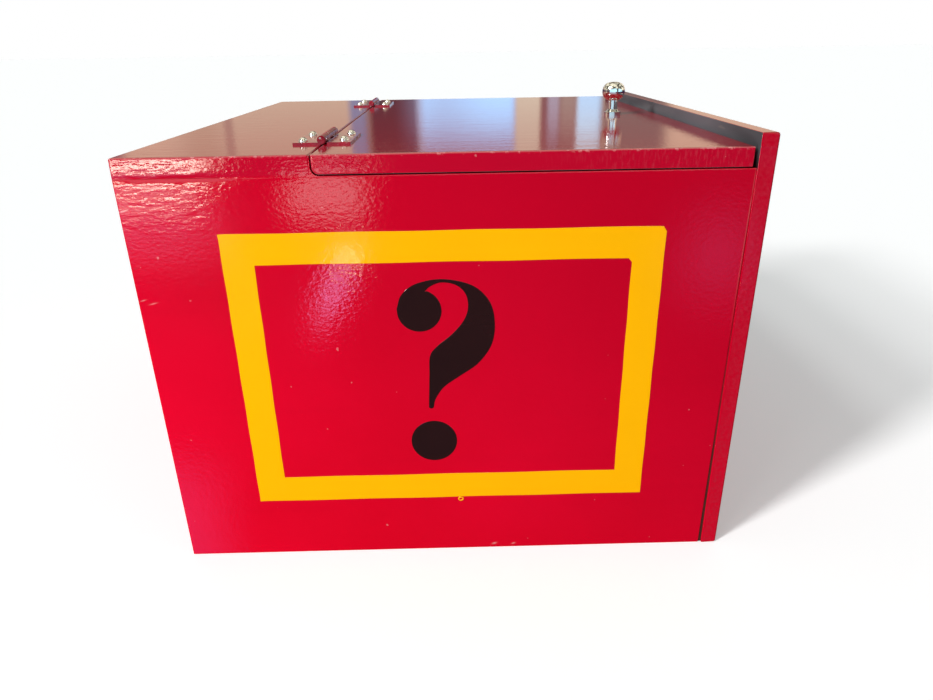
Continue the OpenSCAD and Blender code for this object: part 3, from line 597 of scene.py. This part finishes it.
# Filler rounds the corner under the lid's heel; a strip in the seam behind the front board carries crimson paint above
# and painted shade below
HEEL_R, LINE = 3.0, 0.6
FILL_END = -95.0
lid_low, lid_high = corners("lid")
joint_x, face_x = corners("rear_top_board")[1][0] - 0.05, corners("front_board")[0][0] + 0.05
turn = np.radians(np.linspace(180, 270, 16))
heel_z = lid_low[2] + HEEL_R
bend = [lid_low[0] + HEEL_R, heel_z] + np.stack([np.cos(turn), np.sin(turn)], 1) * [HEEL_R + LINE, heel_z - side_z]
corner_fill = np.concatenate([
    [[joint_x, lid_high[2] - 0.4], [lid_low[0] - LINE, lid_high[2] - 0.4]], bend,
    [[bend[-1, 0], side_z - 0.3], [FILL_END, side_z - 0.25], [FILL_END, side_z + 0.1], [joint_x, side_z + 0.3]]])
seam_fill = np.array([(foot_x - 0.1, 0.4), (face_x, 0.4), (face_x, side_z - 0.2), (side_x - 0.1, side_z - 0.2)])
for side, label in SIDES:
    for name, outline, short, finish in (("joint_filler", corner_fill, -0.012, RED_LONG),
                                         ("seam_paint_and_shade", seam_fill, 0.4, SEAM)):
        loft(f"{label}_{name}", [upright(outline, side * y) for y in (inner_y + 0.2, outer_y - short)],
             finish, "root", smooth=False)

# -------------------- painted border and question mark

PAINT = 0.09
BORDER = np.array([-99.8, 96.3, 33.2, 173.1])
BORDER_W = 14.2
MARK_X = -2.2
DOT, DOT_R = (-9.1, 67.0), 11.3
BALL, BALL_R = (-13.7, 135.9), 10.2
RUN, RUN_R = (3.5, 31.9), (1.15, 0.95)


def border_edge(inset, count=60):
    """The border's rectangle, drawn in by inset, with the slight wander of a masked edge."""
    x0, x1, z0, z1 = BORDER + inset * np.array([1, -1, 1, -1])
    corner = np.array([(x0, z0), (x1, z0), (x1, z1), (x0, z1)])[:, None]
    loop = corner + (np.roll(corner, -1, 0) - corner) * np.linspace(0, 1, count, endpoint=False)[None, :, None]
    wander = 0.10 * np.sin(loop[..., 0] * 0.11 + inset) + 0.07 * np.sin(loop[..., 1] * 0.23 + 2 * inset)
    sway = np.zeros_like(loop)
    sway[::2, :, 1], sway[1::2, :, 0] = wander[::2], wander[1::2]
    sway[:, 0] = 0
    sway[2, 0] = (-1.5, -0.1)
    return (loop + sway).reshape(-1, 2)


def circle(centre, radius, angle):
    """Points in X and Z at the given angles of a circle or an ellipse."""
    return np.asarray(centre) + np.asarray(radius) * np.stack([np.cos(angle), np.sin(angle)], 1)


def question_mark():
    """The mark's outline, clockwise: outer edge, tail, inner edge and the ball that it ends in, run backwards."""
    outer = spline([
        (-24.0, 137.0), (-21.6, 143.7), (-15.0, 148.8), (-3.0, 150.9), (10.4, 147.8), (18.4, 140.0), (20.9, 129.5),
        (19.4, 118.4), (13.0, 108.9), (4.3, 102.5), (-3.4, 96.8), (-7.6, 90.5), (-8.7, 86.0)], 110)
    tail = [[-9.0, 85.5], [-9.9, 85.2], [-10.8, 85.5]]
    inner = spline([
        (-11.1, 86.0), (-10.7, 94.0), (-10.2, 104.0), (-9.6, 113.2), (-6.0, 118.2), (1.0, 124.1), (6.4, 130.6),
        (8.6, 137.0), (7.6, 143.6), (3.4, 147.9), (-3.0, 149.3), (-8.0, 147.7), (-10.9, 145.2)], 100)
    ball = circle(BALL, BALL_R, np.radians(np.linspace(68, -172, 70)))
    return np.concatenate([outer, tail, inner, ball])[::-1]


for side, label in SIDES:
    face = side * outer_y
    rows = np.array([upright(border_edge(inset), face + side * PAINT * height) for inset, height in (
        (0, -0.03), (0, 0.6), (0.12, 1.0), (BORDER_W - 0.12, 1.0), (BORDER_W, 0.6), (BORDER_W, -0.03), (0, -0.03))])
    piece(f"{label}_border", [(rows, grid_faces(*rows.shape[:2]))], YELLOW, "root", smooth=False)
    run = upright(circle(RUN, RUN_R, round_angles(32)), face)
    piece(f"{label}_paint_run", [ring_tube(run, 0.34, (0, 1, 0), 10)], YELLOW, "root")
    for name, outline in (("question_mark", question_mark()),
                          ("question_dot", circle(DOT, DOT_R, round_angles(72)))):
        if side > 0:
            outline = (outline * [-1, 1] + [2 * MARK_X, 0])[::-1]
        film(f"{label}_{name}", outline, face, side * PAINT, BLACK, "root")

# -------------------- jack: spring and soft pieces

jack_x = sum(corner[0] for corner in corners("jack_base")) / 2


def round_jack(radius, angle, height):
    """Points at a radius, an angle and a height round the jack's axis."""
    radius, angle, height = np.broadcast_arrays(radius, angle, height)
    return np.stack([jack_x + radius * np.cos(angle), radius * np.sin(angle), height], -1)


def stretch(obj, low, high):
    """Bakes the piece's placement into its mesh; low and high are not used."""
    low * MM
    high * MM
    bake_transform(obj)


WIRE_R, SPRING_R, COILS = 1.3, 34.0, 8
END_PITCH = 2 * WIRE_R + 0.15
spring_low, spring_high = corners("spring")
wire_z0, wire_z1 = spring_low[2] + WIRE_R, spring_high[2] - WIRE_R

# The spring is a helix: one flat turn at each end, and evenly spread coils between them
turns = np.linspace(0, COILS + 2, (COILS + 2) * 48 + 1)
height = np.interp(turns, [0, 1, COILS + 1, COILS + 2], [wire_z0, wire_z0 + END_PITCH, wire_z1 - END_PITCH, wire_z1])
helix = round_jack(SPRING_R, 2 * math.pi * turns, height)
spring = piece("steel_spring", [closed_tube(helix, WIRE_R, UP, 12)], STEEL, None)
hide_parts("spring")
stretch(spring, wire_z0 + 3, wire_z1 - 3)


def column(source, key, kind):
    """One property of a whole collection, as an array."""
    values = np.empty(len(source), kind)
    source.foreach_get(key, values)
    return values


def uv_map(obj, width):
    """Lays the piece's grid out flat, in millimetres: stored attributes flat_u and flat_v become its UV map."""
    mesh = obj.data
    flat = np.stack([column(mesh.attributes[key].data, "value", np.float32) for key in ("flat_u", "flat_v")], 1)
    flat = flat[column(mesh.loops, "vertex_index", np.int32)]
    owner = np.repeat(np.arange(len(mesh.polygons)), column(mesh.polygons, "loop_total", np.int32))
    high = np.full(len(mesh.polygons), -1e9)
    np.maximum.at(high, owner, flat[:, 0])
    flat[flat[:, 0] < high[owner] - width / 2, 0] += width
    mesh.uv_layers.new(name="cloth").data.foreach_set("uv", flat.ravel())


def round_cloth(name, outer, inner, along, width, finish, body, node):
    """A closed sheet: the outer grid, then the inner one backwards. along and width measure the cloth when flat."""
    rows = np.concatenate([outer, inner[::-1], outer[:1]])
    flat_u = np.linspace(0, width, rows.shape[1], endpoint=False)[None] + np.zeros((len(rows), 1))
    flat_v = np.concatenate([along, along[::-1], along[:1]])[:, None] + 0 * flat_u
    cloth = piece(name, [(rows, grid_faces(*rows.shape[:2]))], finish, body, {"flat_u": flat_u, "flat_v": flat_v})
    uv_map(cloth, width)
    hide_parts(node)
    return cloth


SLEEVE_R, PLEATS, PLEAT_D = 44.9, 10, 10.0
sleeve_low, sleeve_high = corners("body_sleeve")
disc_low, disc_high = corners("shoulder_disc")
low_z, fold_top, band_top = sleeve_low[2] + 0.1, disc_low[2], sleeve_high[2]


def sleeve_rows(offset, rows=220, band=14, count=160):
    """Radius R + (d / 2) · (2 / pi) · arcsin(0.985 sin(2 pi · pleats · s)), with small gathers round the folds.

    Above the folds a plain band is stitched round the shoulder disc, dimpled between its tacks.
    """
    s = np.linspace(0, 1, rows)[:, None]
    angle = round_angles(count)[None]
    drift = 0.010 * np.sin(3 * angle + 9 * s) + 0.006 * np.sin(7 * angle - 14 * s)
    fold = np.arcsin(0.985 * np.sin(2 * math.pi * PLEATS * (s + drift * np.sin(math.pi * s)))) * 2 / math.pi
    fade = np.clip(s / 0.02, 0, 1) * np.clip((1 - s) / 0.02, 0, 1)
    gathers = 0.35 * np.sin(40 * angle + 3 * np.sin(6 * s)) * fade
    middle = SLEEVE_R - 0.8 + offset
    folds = round_jack(middle + PLEAT_D / 2 * fold * fade + gathers, angle, low_z + (fold_top - low_z) * s)
    s = np.linspace(0, 1, band)[1:, None]
    tacks = 0.25 * np.sin(40 * angle) * (1 - s) - 0.3 * np.exp(-((s - 0.55) / 0.12) ** 2)
    return np.concatenate([folds, round_jack(middle + tacks, angle, fold_top + (band_top - fold_top) * s)])


outer, inner = sleeve_rows(0.45), sleeve_rows(-0.35)
run = np.concatenate([[0], np.cumsum(np.linalg.norm(np.diff(outer, axis=0), axis=2).mean(1))])
sleeve = round_cloth("body_sleeve_cloth", outer, inner, run, 2 * math.pi * SLEEVE_R, BLUE, None,
                     "body_sleeve")
stretch(sleeve, low_z + 1, fold_top)

# Ruff: a round collar, gathered at the neck
RUFF_R, NECK_R, RUFFLES, HEM = 46.0, 10.4, 14, 560
ruff_z = sum(corner[2] for corner in corners("ruff")) / 2 + 0.9


def ruff_rows(offset, rows=26, count=280):
    """Height is a ripple that grows outwards: h s^1.3 cos(14 a), with a second, smaller ripple on it."""
    s = np.linspace(0, 1, rows)[:, None]
    angle = round_angles(count)[None]
    radius = NECK_R + (RUFF_R - NECK_R) * s * (1 + 0.02 * np.cos(RUFFLES * angle))
    lift = 2.1 * s ** 1.3 * np.cos(RUFFLES * angle) + 0.4 * s * np.sin(2 * RUFFLES * angle + 0.6)
    return round_jack(radius, angle, ruff_z + lift + offset)


outer, inner = ruff_rows(0.3), ruff_rows(-0.3)
ruff = round_cloth("ruff_cloth", outer, inner, np.linspace(0, RUFF_R - NECK_R, len(outer)), 2 * math.pi * RUFF_R,
                   WHITE, "jack", "ruff")
hem = tube(ruff_rows(0.0, count=HEM)[-1], 0.55, UP, 8)
piece("ruff_hem", [(np.concatenate([hem, hem[:1]]), grid_faces(HEM + 1, 8))], GOLD, "jack")

# Head: mouth and brows laid on the round of the head
head_c = np.array([jack_x, 0.0, head_high[2] - HEAD_R])


def on_head(turn, lift, out=0.0):
    """A point on the head at an angle turn to the side and lift up from its front, in degrees."""
    turn, lift = np.radians(turn), np.radians(lift)
    return head_c + (HEAD_R + out) * np.stack(
        [np.cos(lift) * np.cos(turn), np.cos(lift) * np.sin(turn), np.sin(lift)], -1)


t = np.linspace(-1, 1, 41)
smile = closed_tube(on_head(24 * t, -27 + 7 * t ** 2, 0.05), 0.12 + 1.25 * np.sqrt(1 - 0.985 * t ** 2), UP, 14, 0.7)
piece("mouth", [smile], LIP, "jack")
brows = [closed_tube(on_head(side * (21 + 8.5 * t), 25 + 3.2 * (1 - t ** 2)),
                     0.10 + 0.75 * np.sqrt(1 - 0.98 * t ** 2), UP, 12, 0.8) for side, _ in SIDES]
piece("brows", brows, BROW, "jack")


def stuffed_limb(curve, radius, angle, origin):
    """A tube along a cubic in the plane Y = 0, turned about Z to an angle: its points, faces and middle line."""
    path = upright(bezier(curve, np.linspace(0, 1, len(radius))), 0.0)
    c, n = math.cos(angle), math.sin(angle)
    points, faces = closed_tube(path, radius, (0, 1, 0), radius.shape[1])
    return points @ np.array([[c, -n, 0], [n, c, 0], [0, 0, 1]]).T + origin, faces, path


# Cap: a felt dome with a rolled brim and three stuffed points
HORN = [[10, 16], [24, 50], [52, 52], [57, 12]]
HORN_ROOT, HORN_TIP = 13, 3.5
HORN_TURNS = (105, 180, 255)
CAP_T, CAP_LOW, CAP_TILT, SOFT = 2.0, 5.0, math.radians(-12), 0.3
c, n = math.cos(CAP_TILT), math.sin(CAP_TILT)
tilt = np.array([[c, 0, n], [0, 1, 0], [-n, 0, c]])
outer_r, inner_r = HEAD_R + SOFT + CAP_T, HEAD_R + SOFT - 0.05
rim_angle = math.acos(CAP_LOW / outer_r)


def cap_dome(rows=40, count=96):
    """Two bowls of a sphere, joined at the rim; the outer one sags by small waves that grow towards the rim."""
    down = np.linspace(0, rim_angle, rows)
    down = np.concatenate([down, down[::-1]])[:, None]
    is_outer = (np.arange(2 * rows) < rows)[:, None]
    turn = round_angles(count)[None]
    sag = (0.35 * np.sin(3 * turn + 2) * np.sin(2 * down) + 0.18 * np.sin(9 * turn) * np.sin(down)) * is_outer
    r = np.where(is_outer, outer_r, inner_r)
    radius, height = (r + sag) * np.sin(down), r * np.cos(down) + 0 * turn
    points = np.stack([radius * np.cos(turn), radius * np.sin(turn), height], -1) @ tilt.T + head_c
    return points, grid_faces(2 * rows, count)


def horn(angle, rings=64, sides=48):
    """One stuffed point of the cap, with soft creases across its bend."""
    s = np.linspace(0, 1, rings)[:, None]
    a = round_angles(sides)[None]
    crease = 1 - (0.055 * np.exp(-((s - 0.52) / 0.22) ** 2) * (1 + np.sin(46 * s + 2 * np.cos(a)))
                  * (0.5 + 0.5 * np.cos(a)))
    pucker = 1 + 0.015 * np.sin(11 * a + 7 * s)
    close = np.sqrt(np.clip(1 - np.clip((s - 0.97) / 0.03, 0, 1) ** 2, 0, 1))
    radius = (HORN_ROOT + (HORN_TIP - HORN_ROOT) * s) * crease * pucker * np.maximum(close, 0.02)
    return stuffed_limb(HORN, radius, math.radians(angle), head_c)[:2]


cap = piece("felt_cap", [cap_dome(), *(horn(angle) for angle in HORN_TURNS)], GREEN, "jack")
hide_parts("cap")
ring = round_angles(160)
brim_out = (outer_r - 0.6) * math.sin(rim_angle)
brim = np.stack([brim_out * np.cos(ring), brim_out * np.sin(ring), np.full(160, CAP_LOW)], 1) @ tilt.T + head_c
brim_roll = piece("cap_brim", [ring_tube(brim, 1.7 * (1 + 0.04 * np.sin(40 * ring)), (0.2, 0, 1), 16)], GOLD, "jack")

# Arms and hands
ARM_X, HAND_OUT = SLEEVE_R + SOFT, 19
ARM_ROUND, CUFF_R = 50, 6.9
arm_z = disc_high[2] - 7
ARM = [[ARM_X, arm_z], [ARM_X + 13, arm_z], [ARM_X + HAND_OUT, arm_z - 6], [ARM_X + HAND_OUT, arm_z - 28]]


def arm(side, rings=72, sides=40):
    """A stuffed sleeve: the radius swells as sin(150 s), and puckers where it is sewn on and at the wrist."""
    s = np.linspace(0, 1, rings)[:, None]
    a = round_angles(sides)[None]
    radius = 5.5 + 3.2 * np.sin(np.radians(150 * s))
    fold = 1 - 0.07 * np.exp(-((s - 0.45) / 0.2) ** 2) * np.sin(38 * s) * (0.5 - 0.5 * np.cos(a))
    pucker = 1 + 0.03 * np.sin(12 * a) * (np.exp(-s / 0.08) + np.exp(-(1 - s) / 0.08))
    return stuffed_limb(ARM, radius * fold * pucker, side * math.pi / 2, [jack_x, 0, 0])


for side, label in SIDES:
    points, faces, path = arm(side)
    run = np.concatenate([[0], np.cumsum(np.linalg.norm(np.diff(path, axis=0), axis=1))])[:, None]
    flat_u = np.linspace(0, ARM_ROUND, points.shape[1], endpoint=False)[None] + 0 * run
    sewn = piece(f"{label}_arm_cloth", [(points, faces)], BLUE, "jack",
                 {"flat_u": flat_u, "flat_v": run + 0 * flat_u})
    uv_map(sewn, ARM_ROUND)
    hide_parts(f"{label}_arm")
    a = round_angles(96)
    cuff = points[-1].mean(0) + np.stack([CUFF_R * np.cos(a), CUFF_R * np.sin(a), np.full(96, 1.4)], 1)
    cuff_roll = piece(f"{label}_cuff", [ring_tube(cuff, 1.3, UP, 12)], GOLD, "jack")


def ball_part(centre, radii, rows=20, count=24):
    """An ellipsoid, closed at its poles."""
    lat, lon = np.linspace(-math.pi / 2, math.pi / 2, rows)[:, None], round_angles(count)[None]
    points = np.stack([np.cos(lat) * np.cos(lon), np.cos(lat) * np.sin(lon), np.sin(lat) + 0 * lon], -1)
    return points * radii + centre, grid_faces(rows, count)


# Each hand is a stuffed glove: palm, three fingers and a thumb melted into one skin by a voxel remesh
for side, label in SIDES:
    palm = np.array([jack_x, side * (ARM_X + HAND_OUT), corners(f"{label}_hand")[1][2] - 7.0])
    parts = [ball_part(palm, (6.9, 5.6, 7.0), 28, 36)]
    parts += [ball_part(palm + [4.1 * k, 0.2 * side, -6.0], (2.5, 3.0, 4.0)) for k in (-1, 0, 1)]
    parts.append(ball_part(palm + [6.4, -0.4 * side, -0.6], (3.3, 2.7, 3.0)))
    hand = piece(f"{label}_glove", parts, GLOVE, None)
    remesh = hand.modifiers.new("melt", "REMESH")
    remesh.mode, remesh.voxel_size, remesh.use_smooth_shade = "VOXEL", 0.0006, True
    smooth = hand.modifiers.new("soften", "SMOOTH")
    smooth.factor, smooth.iterations = 0.5, 6
    bpy.context.view_layer.update()
    shape = bpy.data.meshes.new_from_object(hand.evaluated_get(bpy.context.evaluated_depsgraph_get()))
    hand.modifiers.clear()
    old, hand.data = hand.data, shape
    bpy.data.meshes.remove(old)
    shape.name = f"{label}_glove"
    shape.polygons.foreach_set("use_smooth", np.full(len(shape.polygons), True))
    if not shape.materials:
        shape.materials.append(GLOVE)
    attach(hand, "jack")
    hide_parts(f"{label}_hand")

# -------------------- studio

FLOOR = 30.0


def studio_floor():
    """A pale table top: white to the camera, where it keeps the shadow, and clear to reflections."""
    f = Finish("studio_floor", roughness=1.0, specular_ior_level=0.0)
    f.colour(f.mix(f.noise(2.0), (0.82, 0.82, 0.82), (0.84, 0.84, 0.84)))
    path = add_node(f.tree, "LightPath").outputs
    white = f.field("BsdfDiffuse", {"Color": (1.0, 1.0, 1.0)})
    glow = f.field("Emission", {"Color": (0.93, 1.0, 0.99), "Strength": 0.245})
    added = f.field("AddShader", {0: white, 1: glow})
    seen = f.field("MixShader", {0: path["Is Camera Ray"], 1: f.shader.outputs[0], 2: added})
    pick = f.field("MixShader", {0: path["Is Glossy Ray"], 1: seen, 2: f.field("BsdfTransparent")})
    f.tree.links.new(pick.socket, f.tree.nodes["Material Output"].inputs["Surface"])
    return f.material


floor_mesh = bpy.data.meshes.new("studio_floor")
square = ((-1, -1), (1, -1), (1, 1), (-1, 1))
floor_mesh.from_pydata([(x * FLOOR, y * FLOOR, 0) for x, y in square], [], [(0, 1, 2, 3)])
floor = bpy.data.objects.new("studio_floor", floor_mesh)
scene.collection.objects.link(floor)
floor_mesh.materials.append(studio_floor())


def room_light():
    """The surroundings: white to the camera, even and soft on surfaces. Reflections show a room: a tan wall with two
    tall windows behind the box, a dim floor with window light on its left in front, and a patchy gold ceiling."""
    world = bpy.data.worlds.new("room")
    scene.world = world
    world.use_nodes = True
    tree = world.node_tree
    tree.nodes.clear()
    path = add_node(tree, "LightPath").outputs
    split = add_node(tree, "SeparateXYZ", {0: add_node(tree, "TexCoord").outputs["Generated"]})
    x, y, z = (Field(tree, out) for out in split.outputs)
    depth = y.math("ABSOLUTE").math("MAXIMUM", 0.001)
    across, up = x / depth, z / depth
    behind, front = y.between(-0.05, 0.05), y.between(0.05, -0.05)

    def band(low, high, soft=0.006):
        return across.between(low - soft, low + soft) * across.between(high + soft, high - soft)

    def patch(left, right, low, high):
        """Light inside four soft edges; each is given by where it starts and where it is full."""
        return across.between(*left) * across.between(*right) * up.between(*low) * up.between(*high)

    blotch = Field(tree, add_node(tree, "TexNoise", {"Scale": 3.5, "Detail": 2.0}).outputs[0])
    ceiling = mixed(tree, blotch.between(0.45, 0.56), (0.05, 0.045, 0.035), (1.30, 1.20, 0.90))
    short = up.between(0.127, 0.112)
    wall = behind * up.between(-0.01, 0.01)
    colour = mixed(tree, wall, (0.05, 0.02, 0.05), (0.68, 0.55, 0.41))
    wall = wall * up.between(0.19, 0.15)
    for share, tone in (
        (band(-9.0, -0.39, 0.03), (0.80, 0.62, 0.46)),
        (band(-0.37, -0.322, 0.02) * 0.5, (0.54, 0.42, 0.30)),
        (band(-9.0, -0.462, 0.012), (0.22, 0.16, 0.20)),
        (band(-0.316, -0.304, 0.004) * 0.6, (0.30, 0.22, 0.20)),
        (band(-0.142, -0.118), (0.20, 0.33, 0.50)),
        (band(-0.118, -0.045, 0.010), (0.02, 0.05, 0.06)),
        (band(-0.045, 0.086, 0.010), (0.34, 0.21, 0.26)),
        (band(-0.045, 0.086, 0.010) * (short * 0.85 + 0.15), (0.58, 1.08, 1.68)),
        (band(-0.045, 0.020, 0.040) * short * 0.6, (0.44, 0.70, 1.08)),
        (band(0.086, 0.120, 0.004), (0.80, 0.72, 0.56)),
        (band(0.120, 0.170, 0.004), (0.22, 0.15, 0.15)),
        (band(0.146, 0.170, 0.008) * short * 0.75, (0.44, 0.40, 0.34)),
        (band(0.130, 0.145, 0.004) * short * 0.65, (0.56, 0.62, 0.78)),
        (band(0.171, 0.205, 0.004) * (short * 0.75 + 0.25), (0.60, 0.98, 1.36)),
        (band(0.171, 0.203, 0.006) * up.bell(0.106, 0.013) * 0.7, (0.95, 1.50, 1.75)),
        (band(0.205, 0.300, 0.010), (0.20, 0.21, 0.19)),
        (band(0.300, 9.0, 0.020), (0.86, 0.66, 0.48)),
    ):
        colour = mixed(tree, share * wall, colour, tone)
    colour = mixed(tree, front * up.between(-0.08, -0.03), colour, (0.10, 0.07, 0.06))
    slant = across - (up + 0.33) * 0.45
    for share, tone in (
        (band(-1.2, 0.42, 0.02) * up.between(-0.08, -0.04) * up.between(0.50, 0.45), (0.80, 1.35, 1.55)),
        (band(0.80, 9.0, 0.02) * up.between(-0.10, -0.06) * up.between(0.65, 0.60), (0.95, 1.65, 1.9)),
        (across.between(-0.30, -0.42) * up.between(-0.32, -0.22) * up.between(-0.16, -0.20) * 0.8, (1.7, 1.3, 2.5)),
        (patch((-0.58, -0.50), (-0.345, -0.390), (-0.222, -0.200), (-0.187, -0.200)), (7.4, 7.1, 6.6)),
        (patch((-0.62, -0.54), (-0.31, -0.385), (-0.166, -0.154), (-0.110, -0.130)), (24.0, 22.5, 19.0)),
        (patch((-0.262, -0.215), (-0.120, -0.145), (-0.246, -0.200), (-0.155, -0.172)), (3.3, 3.1, 3.2)),
        (across.bell(-0.176, 0.018) * up.bell(-0.152, 0.005), (3.6, 3.0, 3.6)),
        (across.bell(-0.122, 0.016) * up.bell(-0.149, 0.003), (6.0, 4.2, 3.0)),
        (slant.bell(-0.184, 0.017) * up.bell(-0.333, 0.046), (4.8, 4.1, 8.8)),
        (across.bell(-0.160, 0.015) * up.bell(-0.2835, 0.006), (26.0, 25.0, 14.0)),
        (across.bell(0.395, 0.06) * up.bell(-0.295, 0.07), (0.5, 0.27, 0.8)),
        (patch((-0.80, -0.62), (-0.36, -0.50), (-1.05, -0.90), (-0.58, -0.70)) * 0.75, (0.6, 0.40, 1.4)),
    ):
        colour = mixed(tree, share * front, colour, tone)
    colour = mixed(tree, up.between(0.42, 0.60), colour, ceiling)
    seen = add_node(tree, "Background", {"Color": (1, 1, 1)}).outputs[0]
    soft = add_node(tree, "Background", {"Color": (1, 1, 1), "Strength": 0.305}).outputs[0]
    mirror = add_node(tree, "Background", {"Color": colour}).outputs[0]
    first = add_node(tree, "MixShader", {0: path["Is Glossy Ray"], 1: soft, 2: mirror}).outputs[0]
    second = add_node(tree, "MixShader", {0: path["Is Camera Ray"], 1: first, 2: seen}).outputs[0]
    add_node(tree, "OutputWorld", {"Surface": second})


room_light()


def stand(obj, side, over, back, place):
    """Puts an object at place, in metres, with its X, Y and Z along side, over and back."""
    scene.collection.objects.link(obj)
    obj.matrix_world = Matrix([*np.stack([side, over, back, place], 1).tolist(), [0, 0, 0, 1]])


def lamp(name, kind, place, aim, strength, **settings):
    """A lamp at place that looks at aim."""
    data = bpy.data.lights.new(name, kind)
    data.energy = strength
    for key, value in settings.items():
        setattr(data, key, value)
    obj = bpy.data.objects.new(name, data)
    way = np.subtract(aim, place) / np.linalg.norm(np.subtract(aim, place))
    side = np.cross(way, UP)
    side /= np.linalg.norm(side)
    stand(obj, side, np.cross(side, way), -way, place)
    return obj


# One tall light, as three of one azimuth: sharp to the side, soft up and down
KEY_SIDE = math.radians(34)
for number, (height, strength) in enumerate(((25.5, 1.45), (35.0, 0.80), (47.0, 0.45))):
    height = math.radians(height)
    way = (-math.cos(height) * math.cos(KEY_SIDE), -math.cos(height) * math.sin(KEY_SIDE), math.sin(height))
    lamp(f"key_{number}", "SUN", way, (0, 0, 0), strength, angle=math.radians(9))
low_fill = lamp("low_fill", "AREA", (-0.30, -0.62, 0.07), (-0.05, -0.16, 0.07), 1.35, shape="DISK", size=0.16)
low_fill.visible_camera = False
low_fill.visible_glossy = False

# -------------------- camera

YAW, PITCH, ROLL = 0.01278, 0.41537, -0.01658
ahead = np.array([math.sin(YAW) * math.cos(PITCH), math.cos(YAW) * math.cos(PITCH), -math.sin(PITCH)])
right = np.array([math.cos(YAW), -math.sin(YAW), 0.0])
upward = np.cross(right, ahead)
right, upward = (right * math.cos(ROLL) + upward * math.sin(ROLL), upward * math.cos(ROLL) - right * math.sin(ROLL))
camera = bpy.data.objects.new("camera", bpy.data.cameras.new("camera"))
stand(camera, right, upward, -ahead, (0.00382, -0.45514, 0.24651))
camera.data.lens = 26.63
camera.data.sensor_width = 36.0
camera.data.clip_start = 0.01
scene.camera = camera
scene.view_settings.view_transform = "Standard"

bpy.context.view_layer.update()
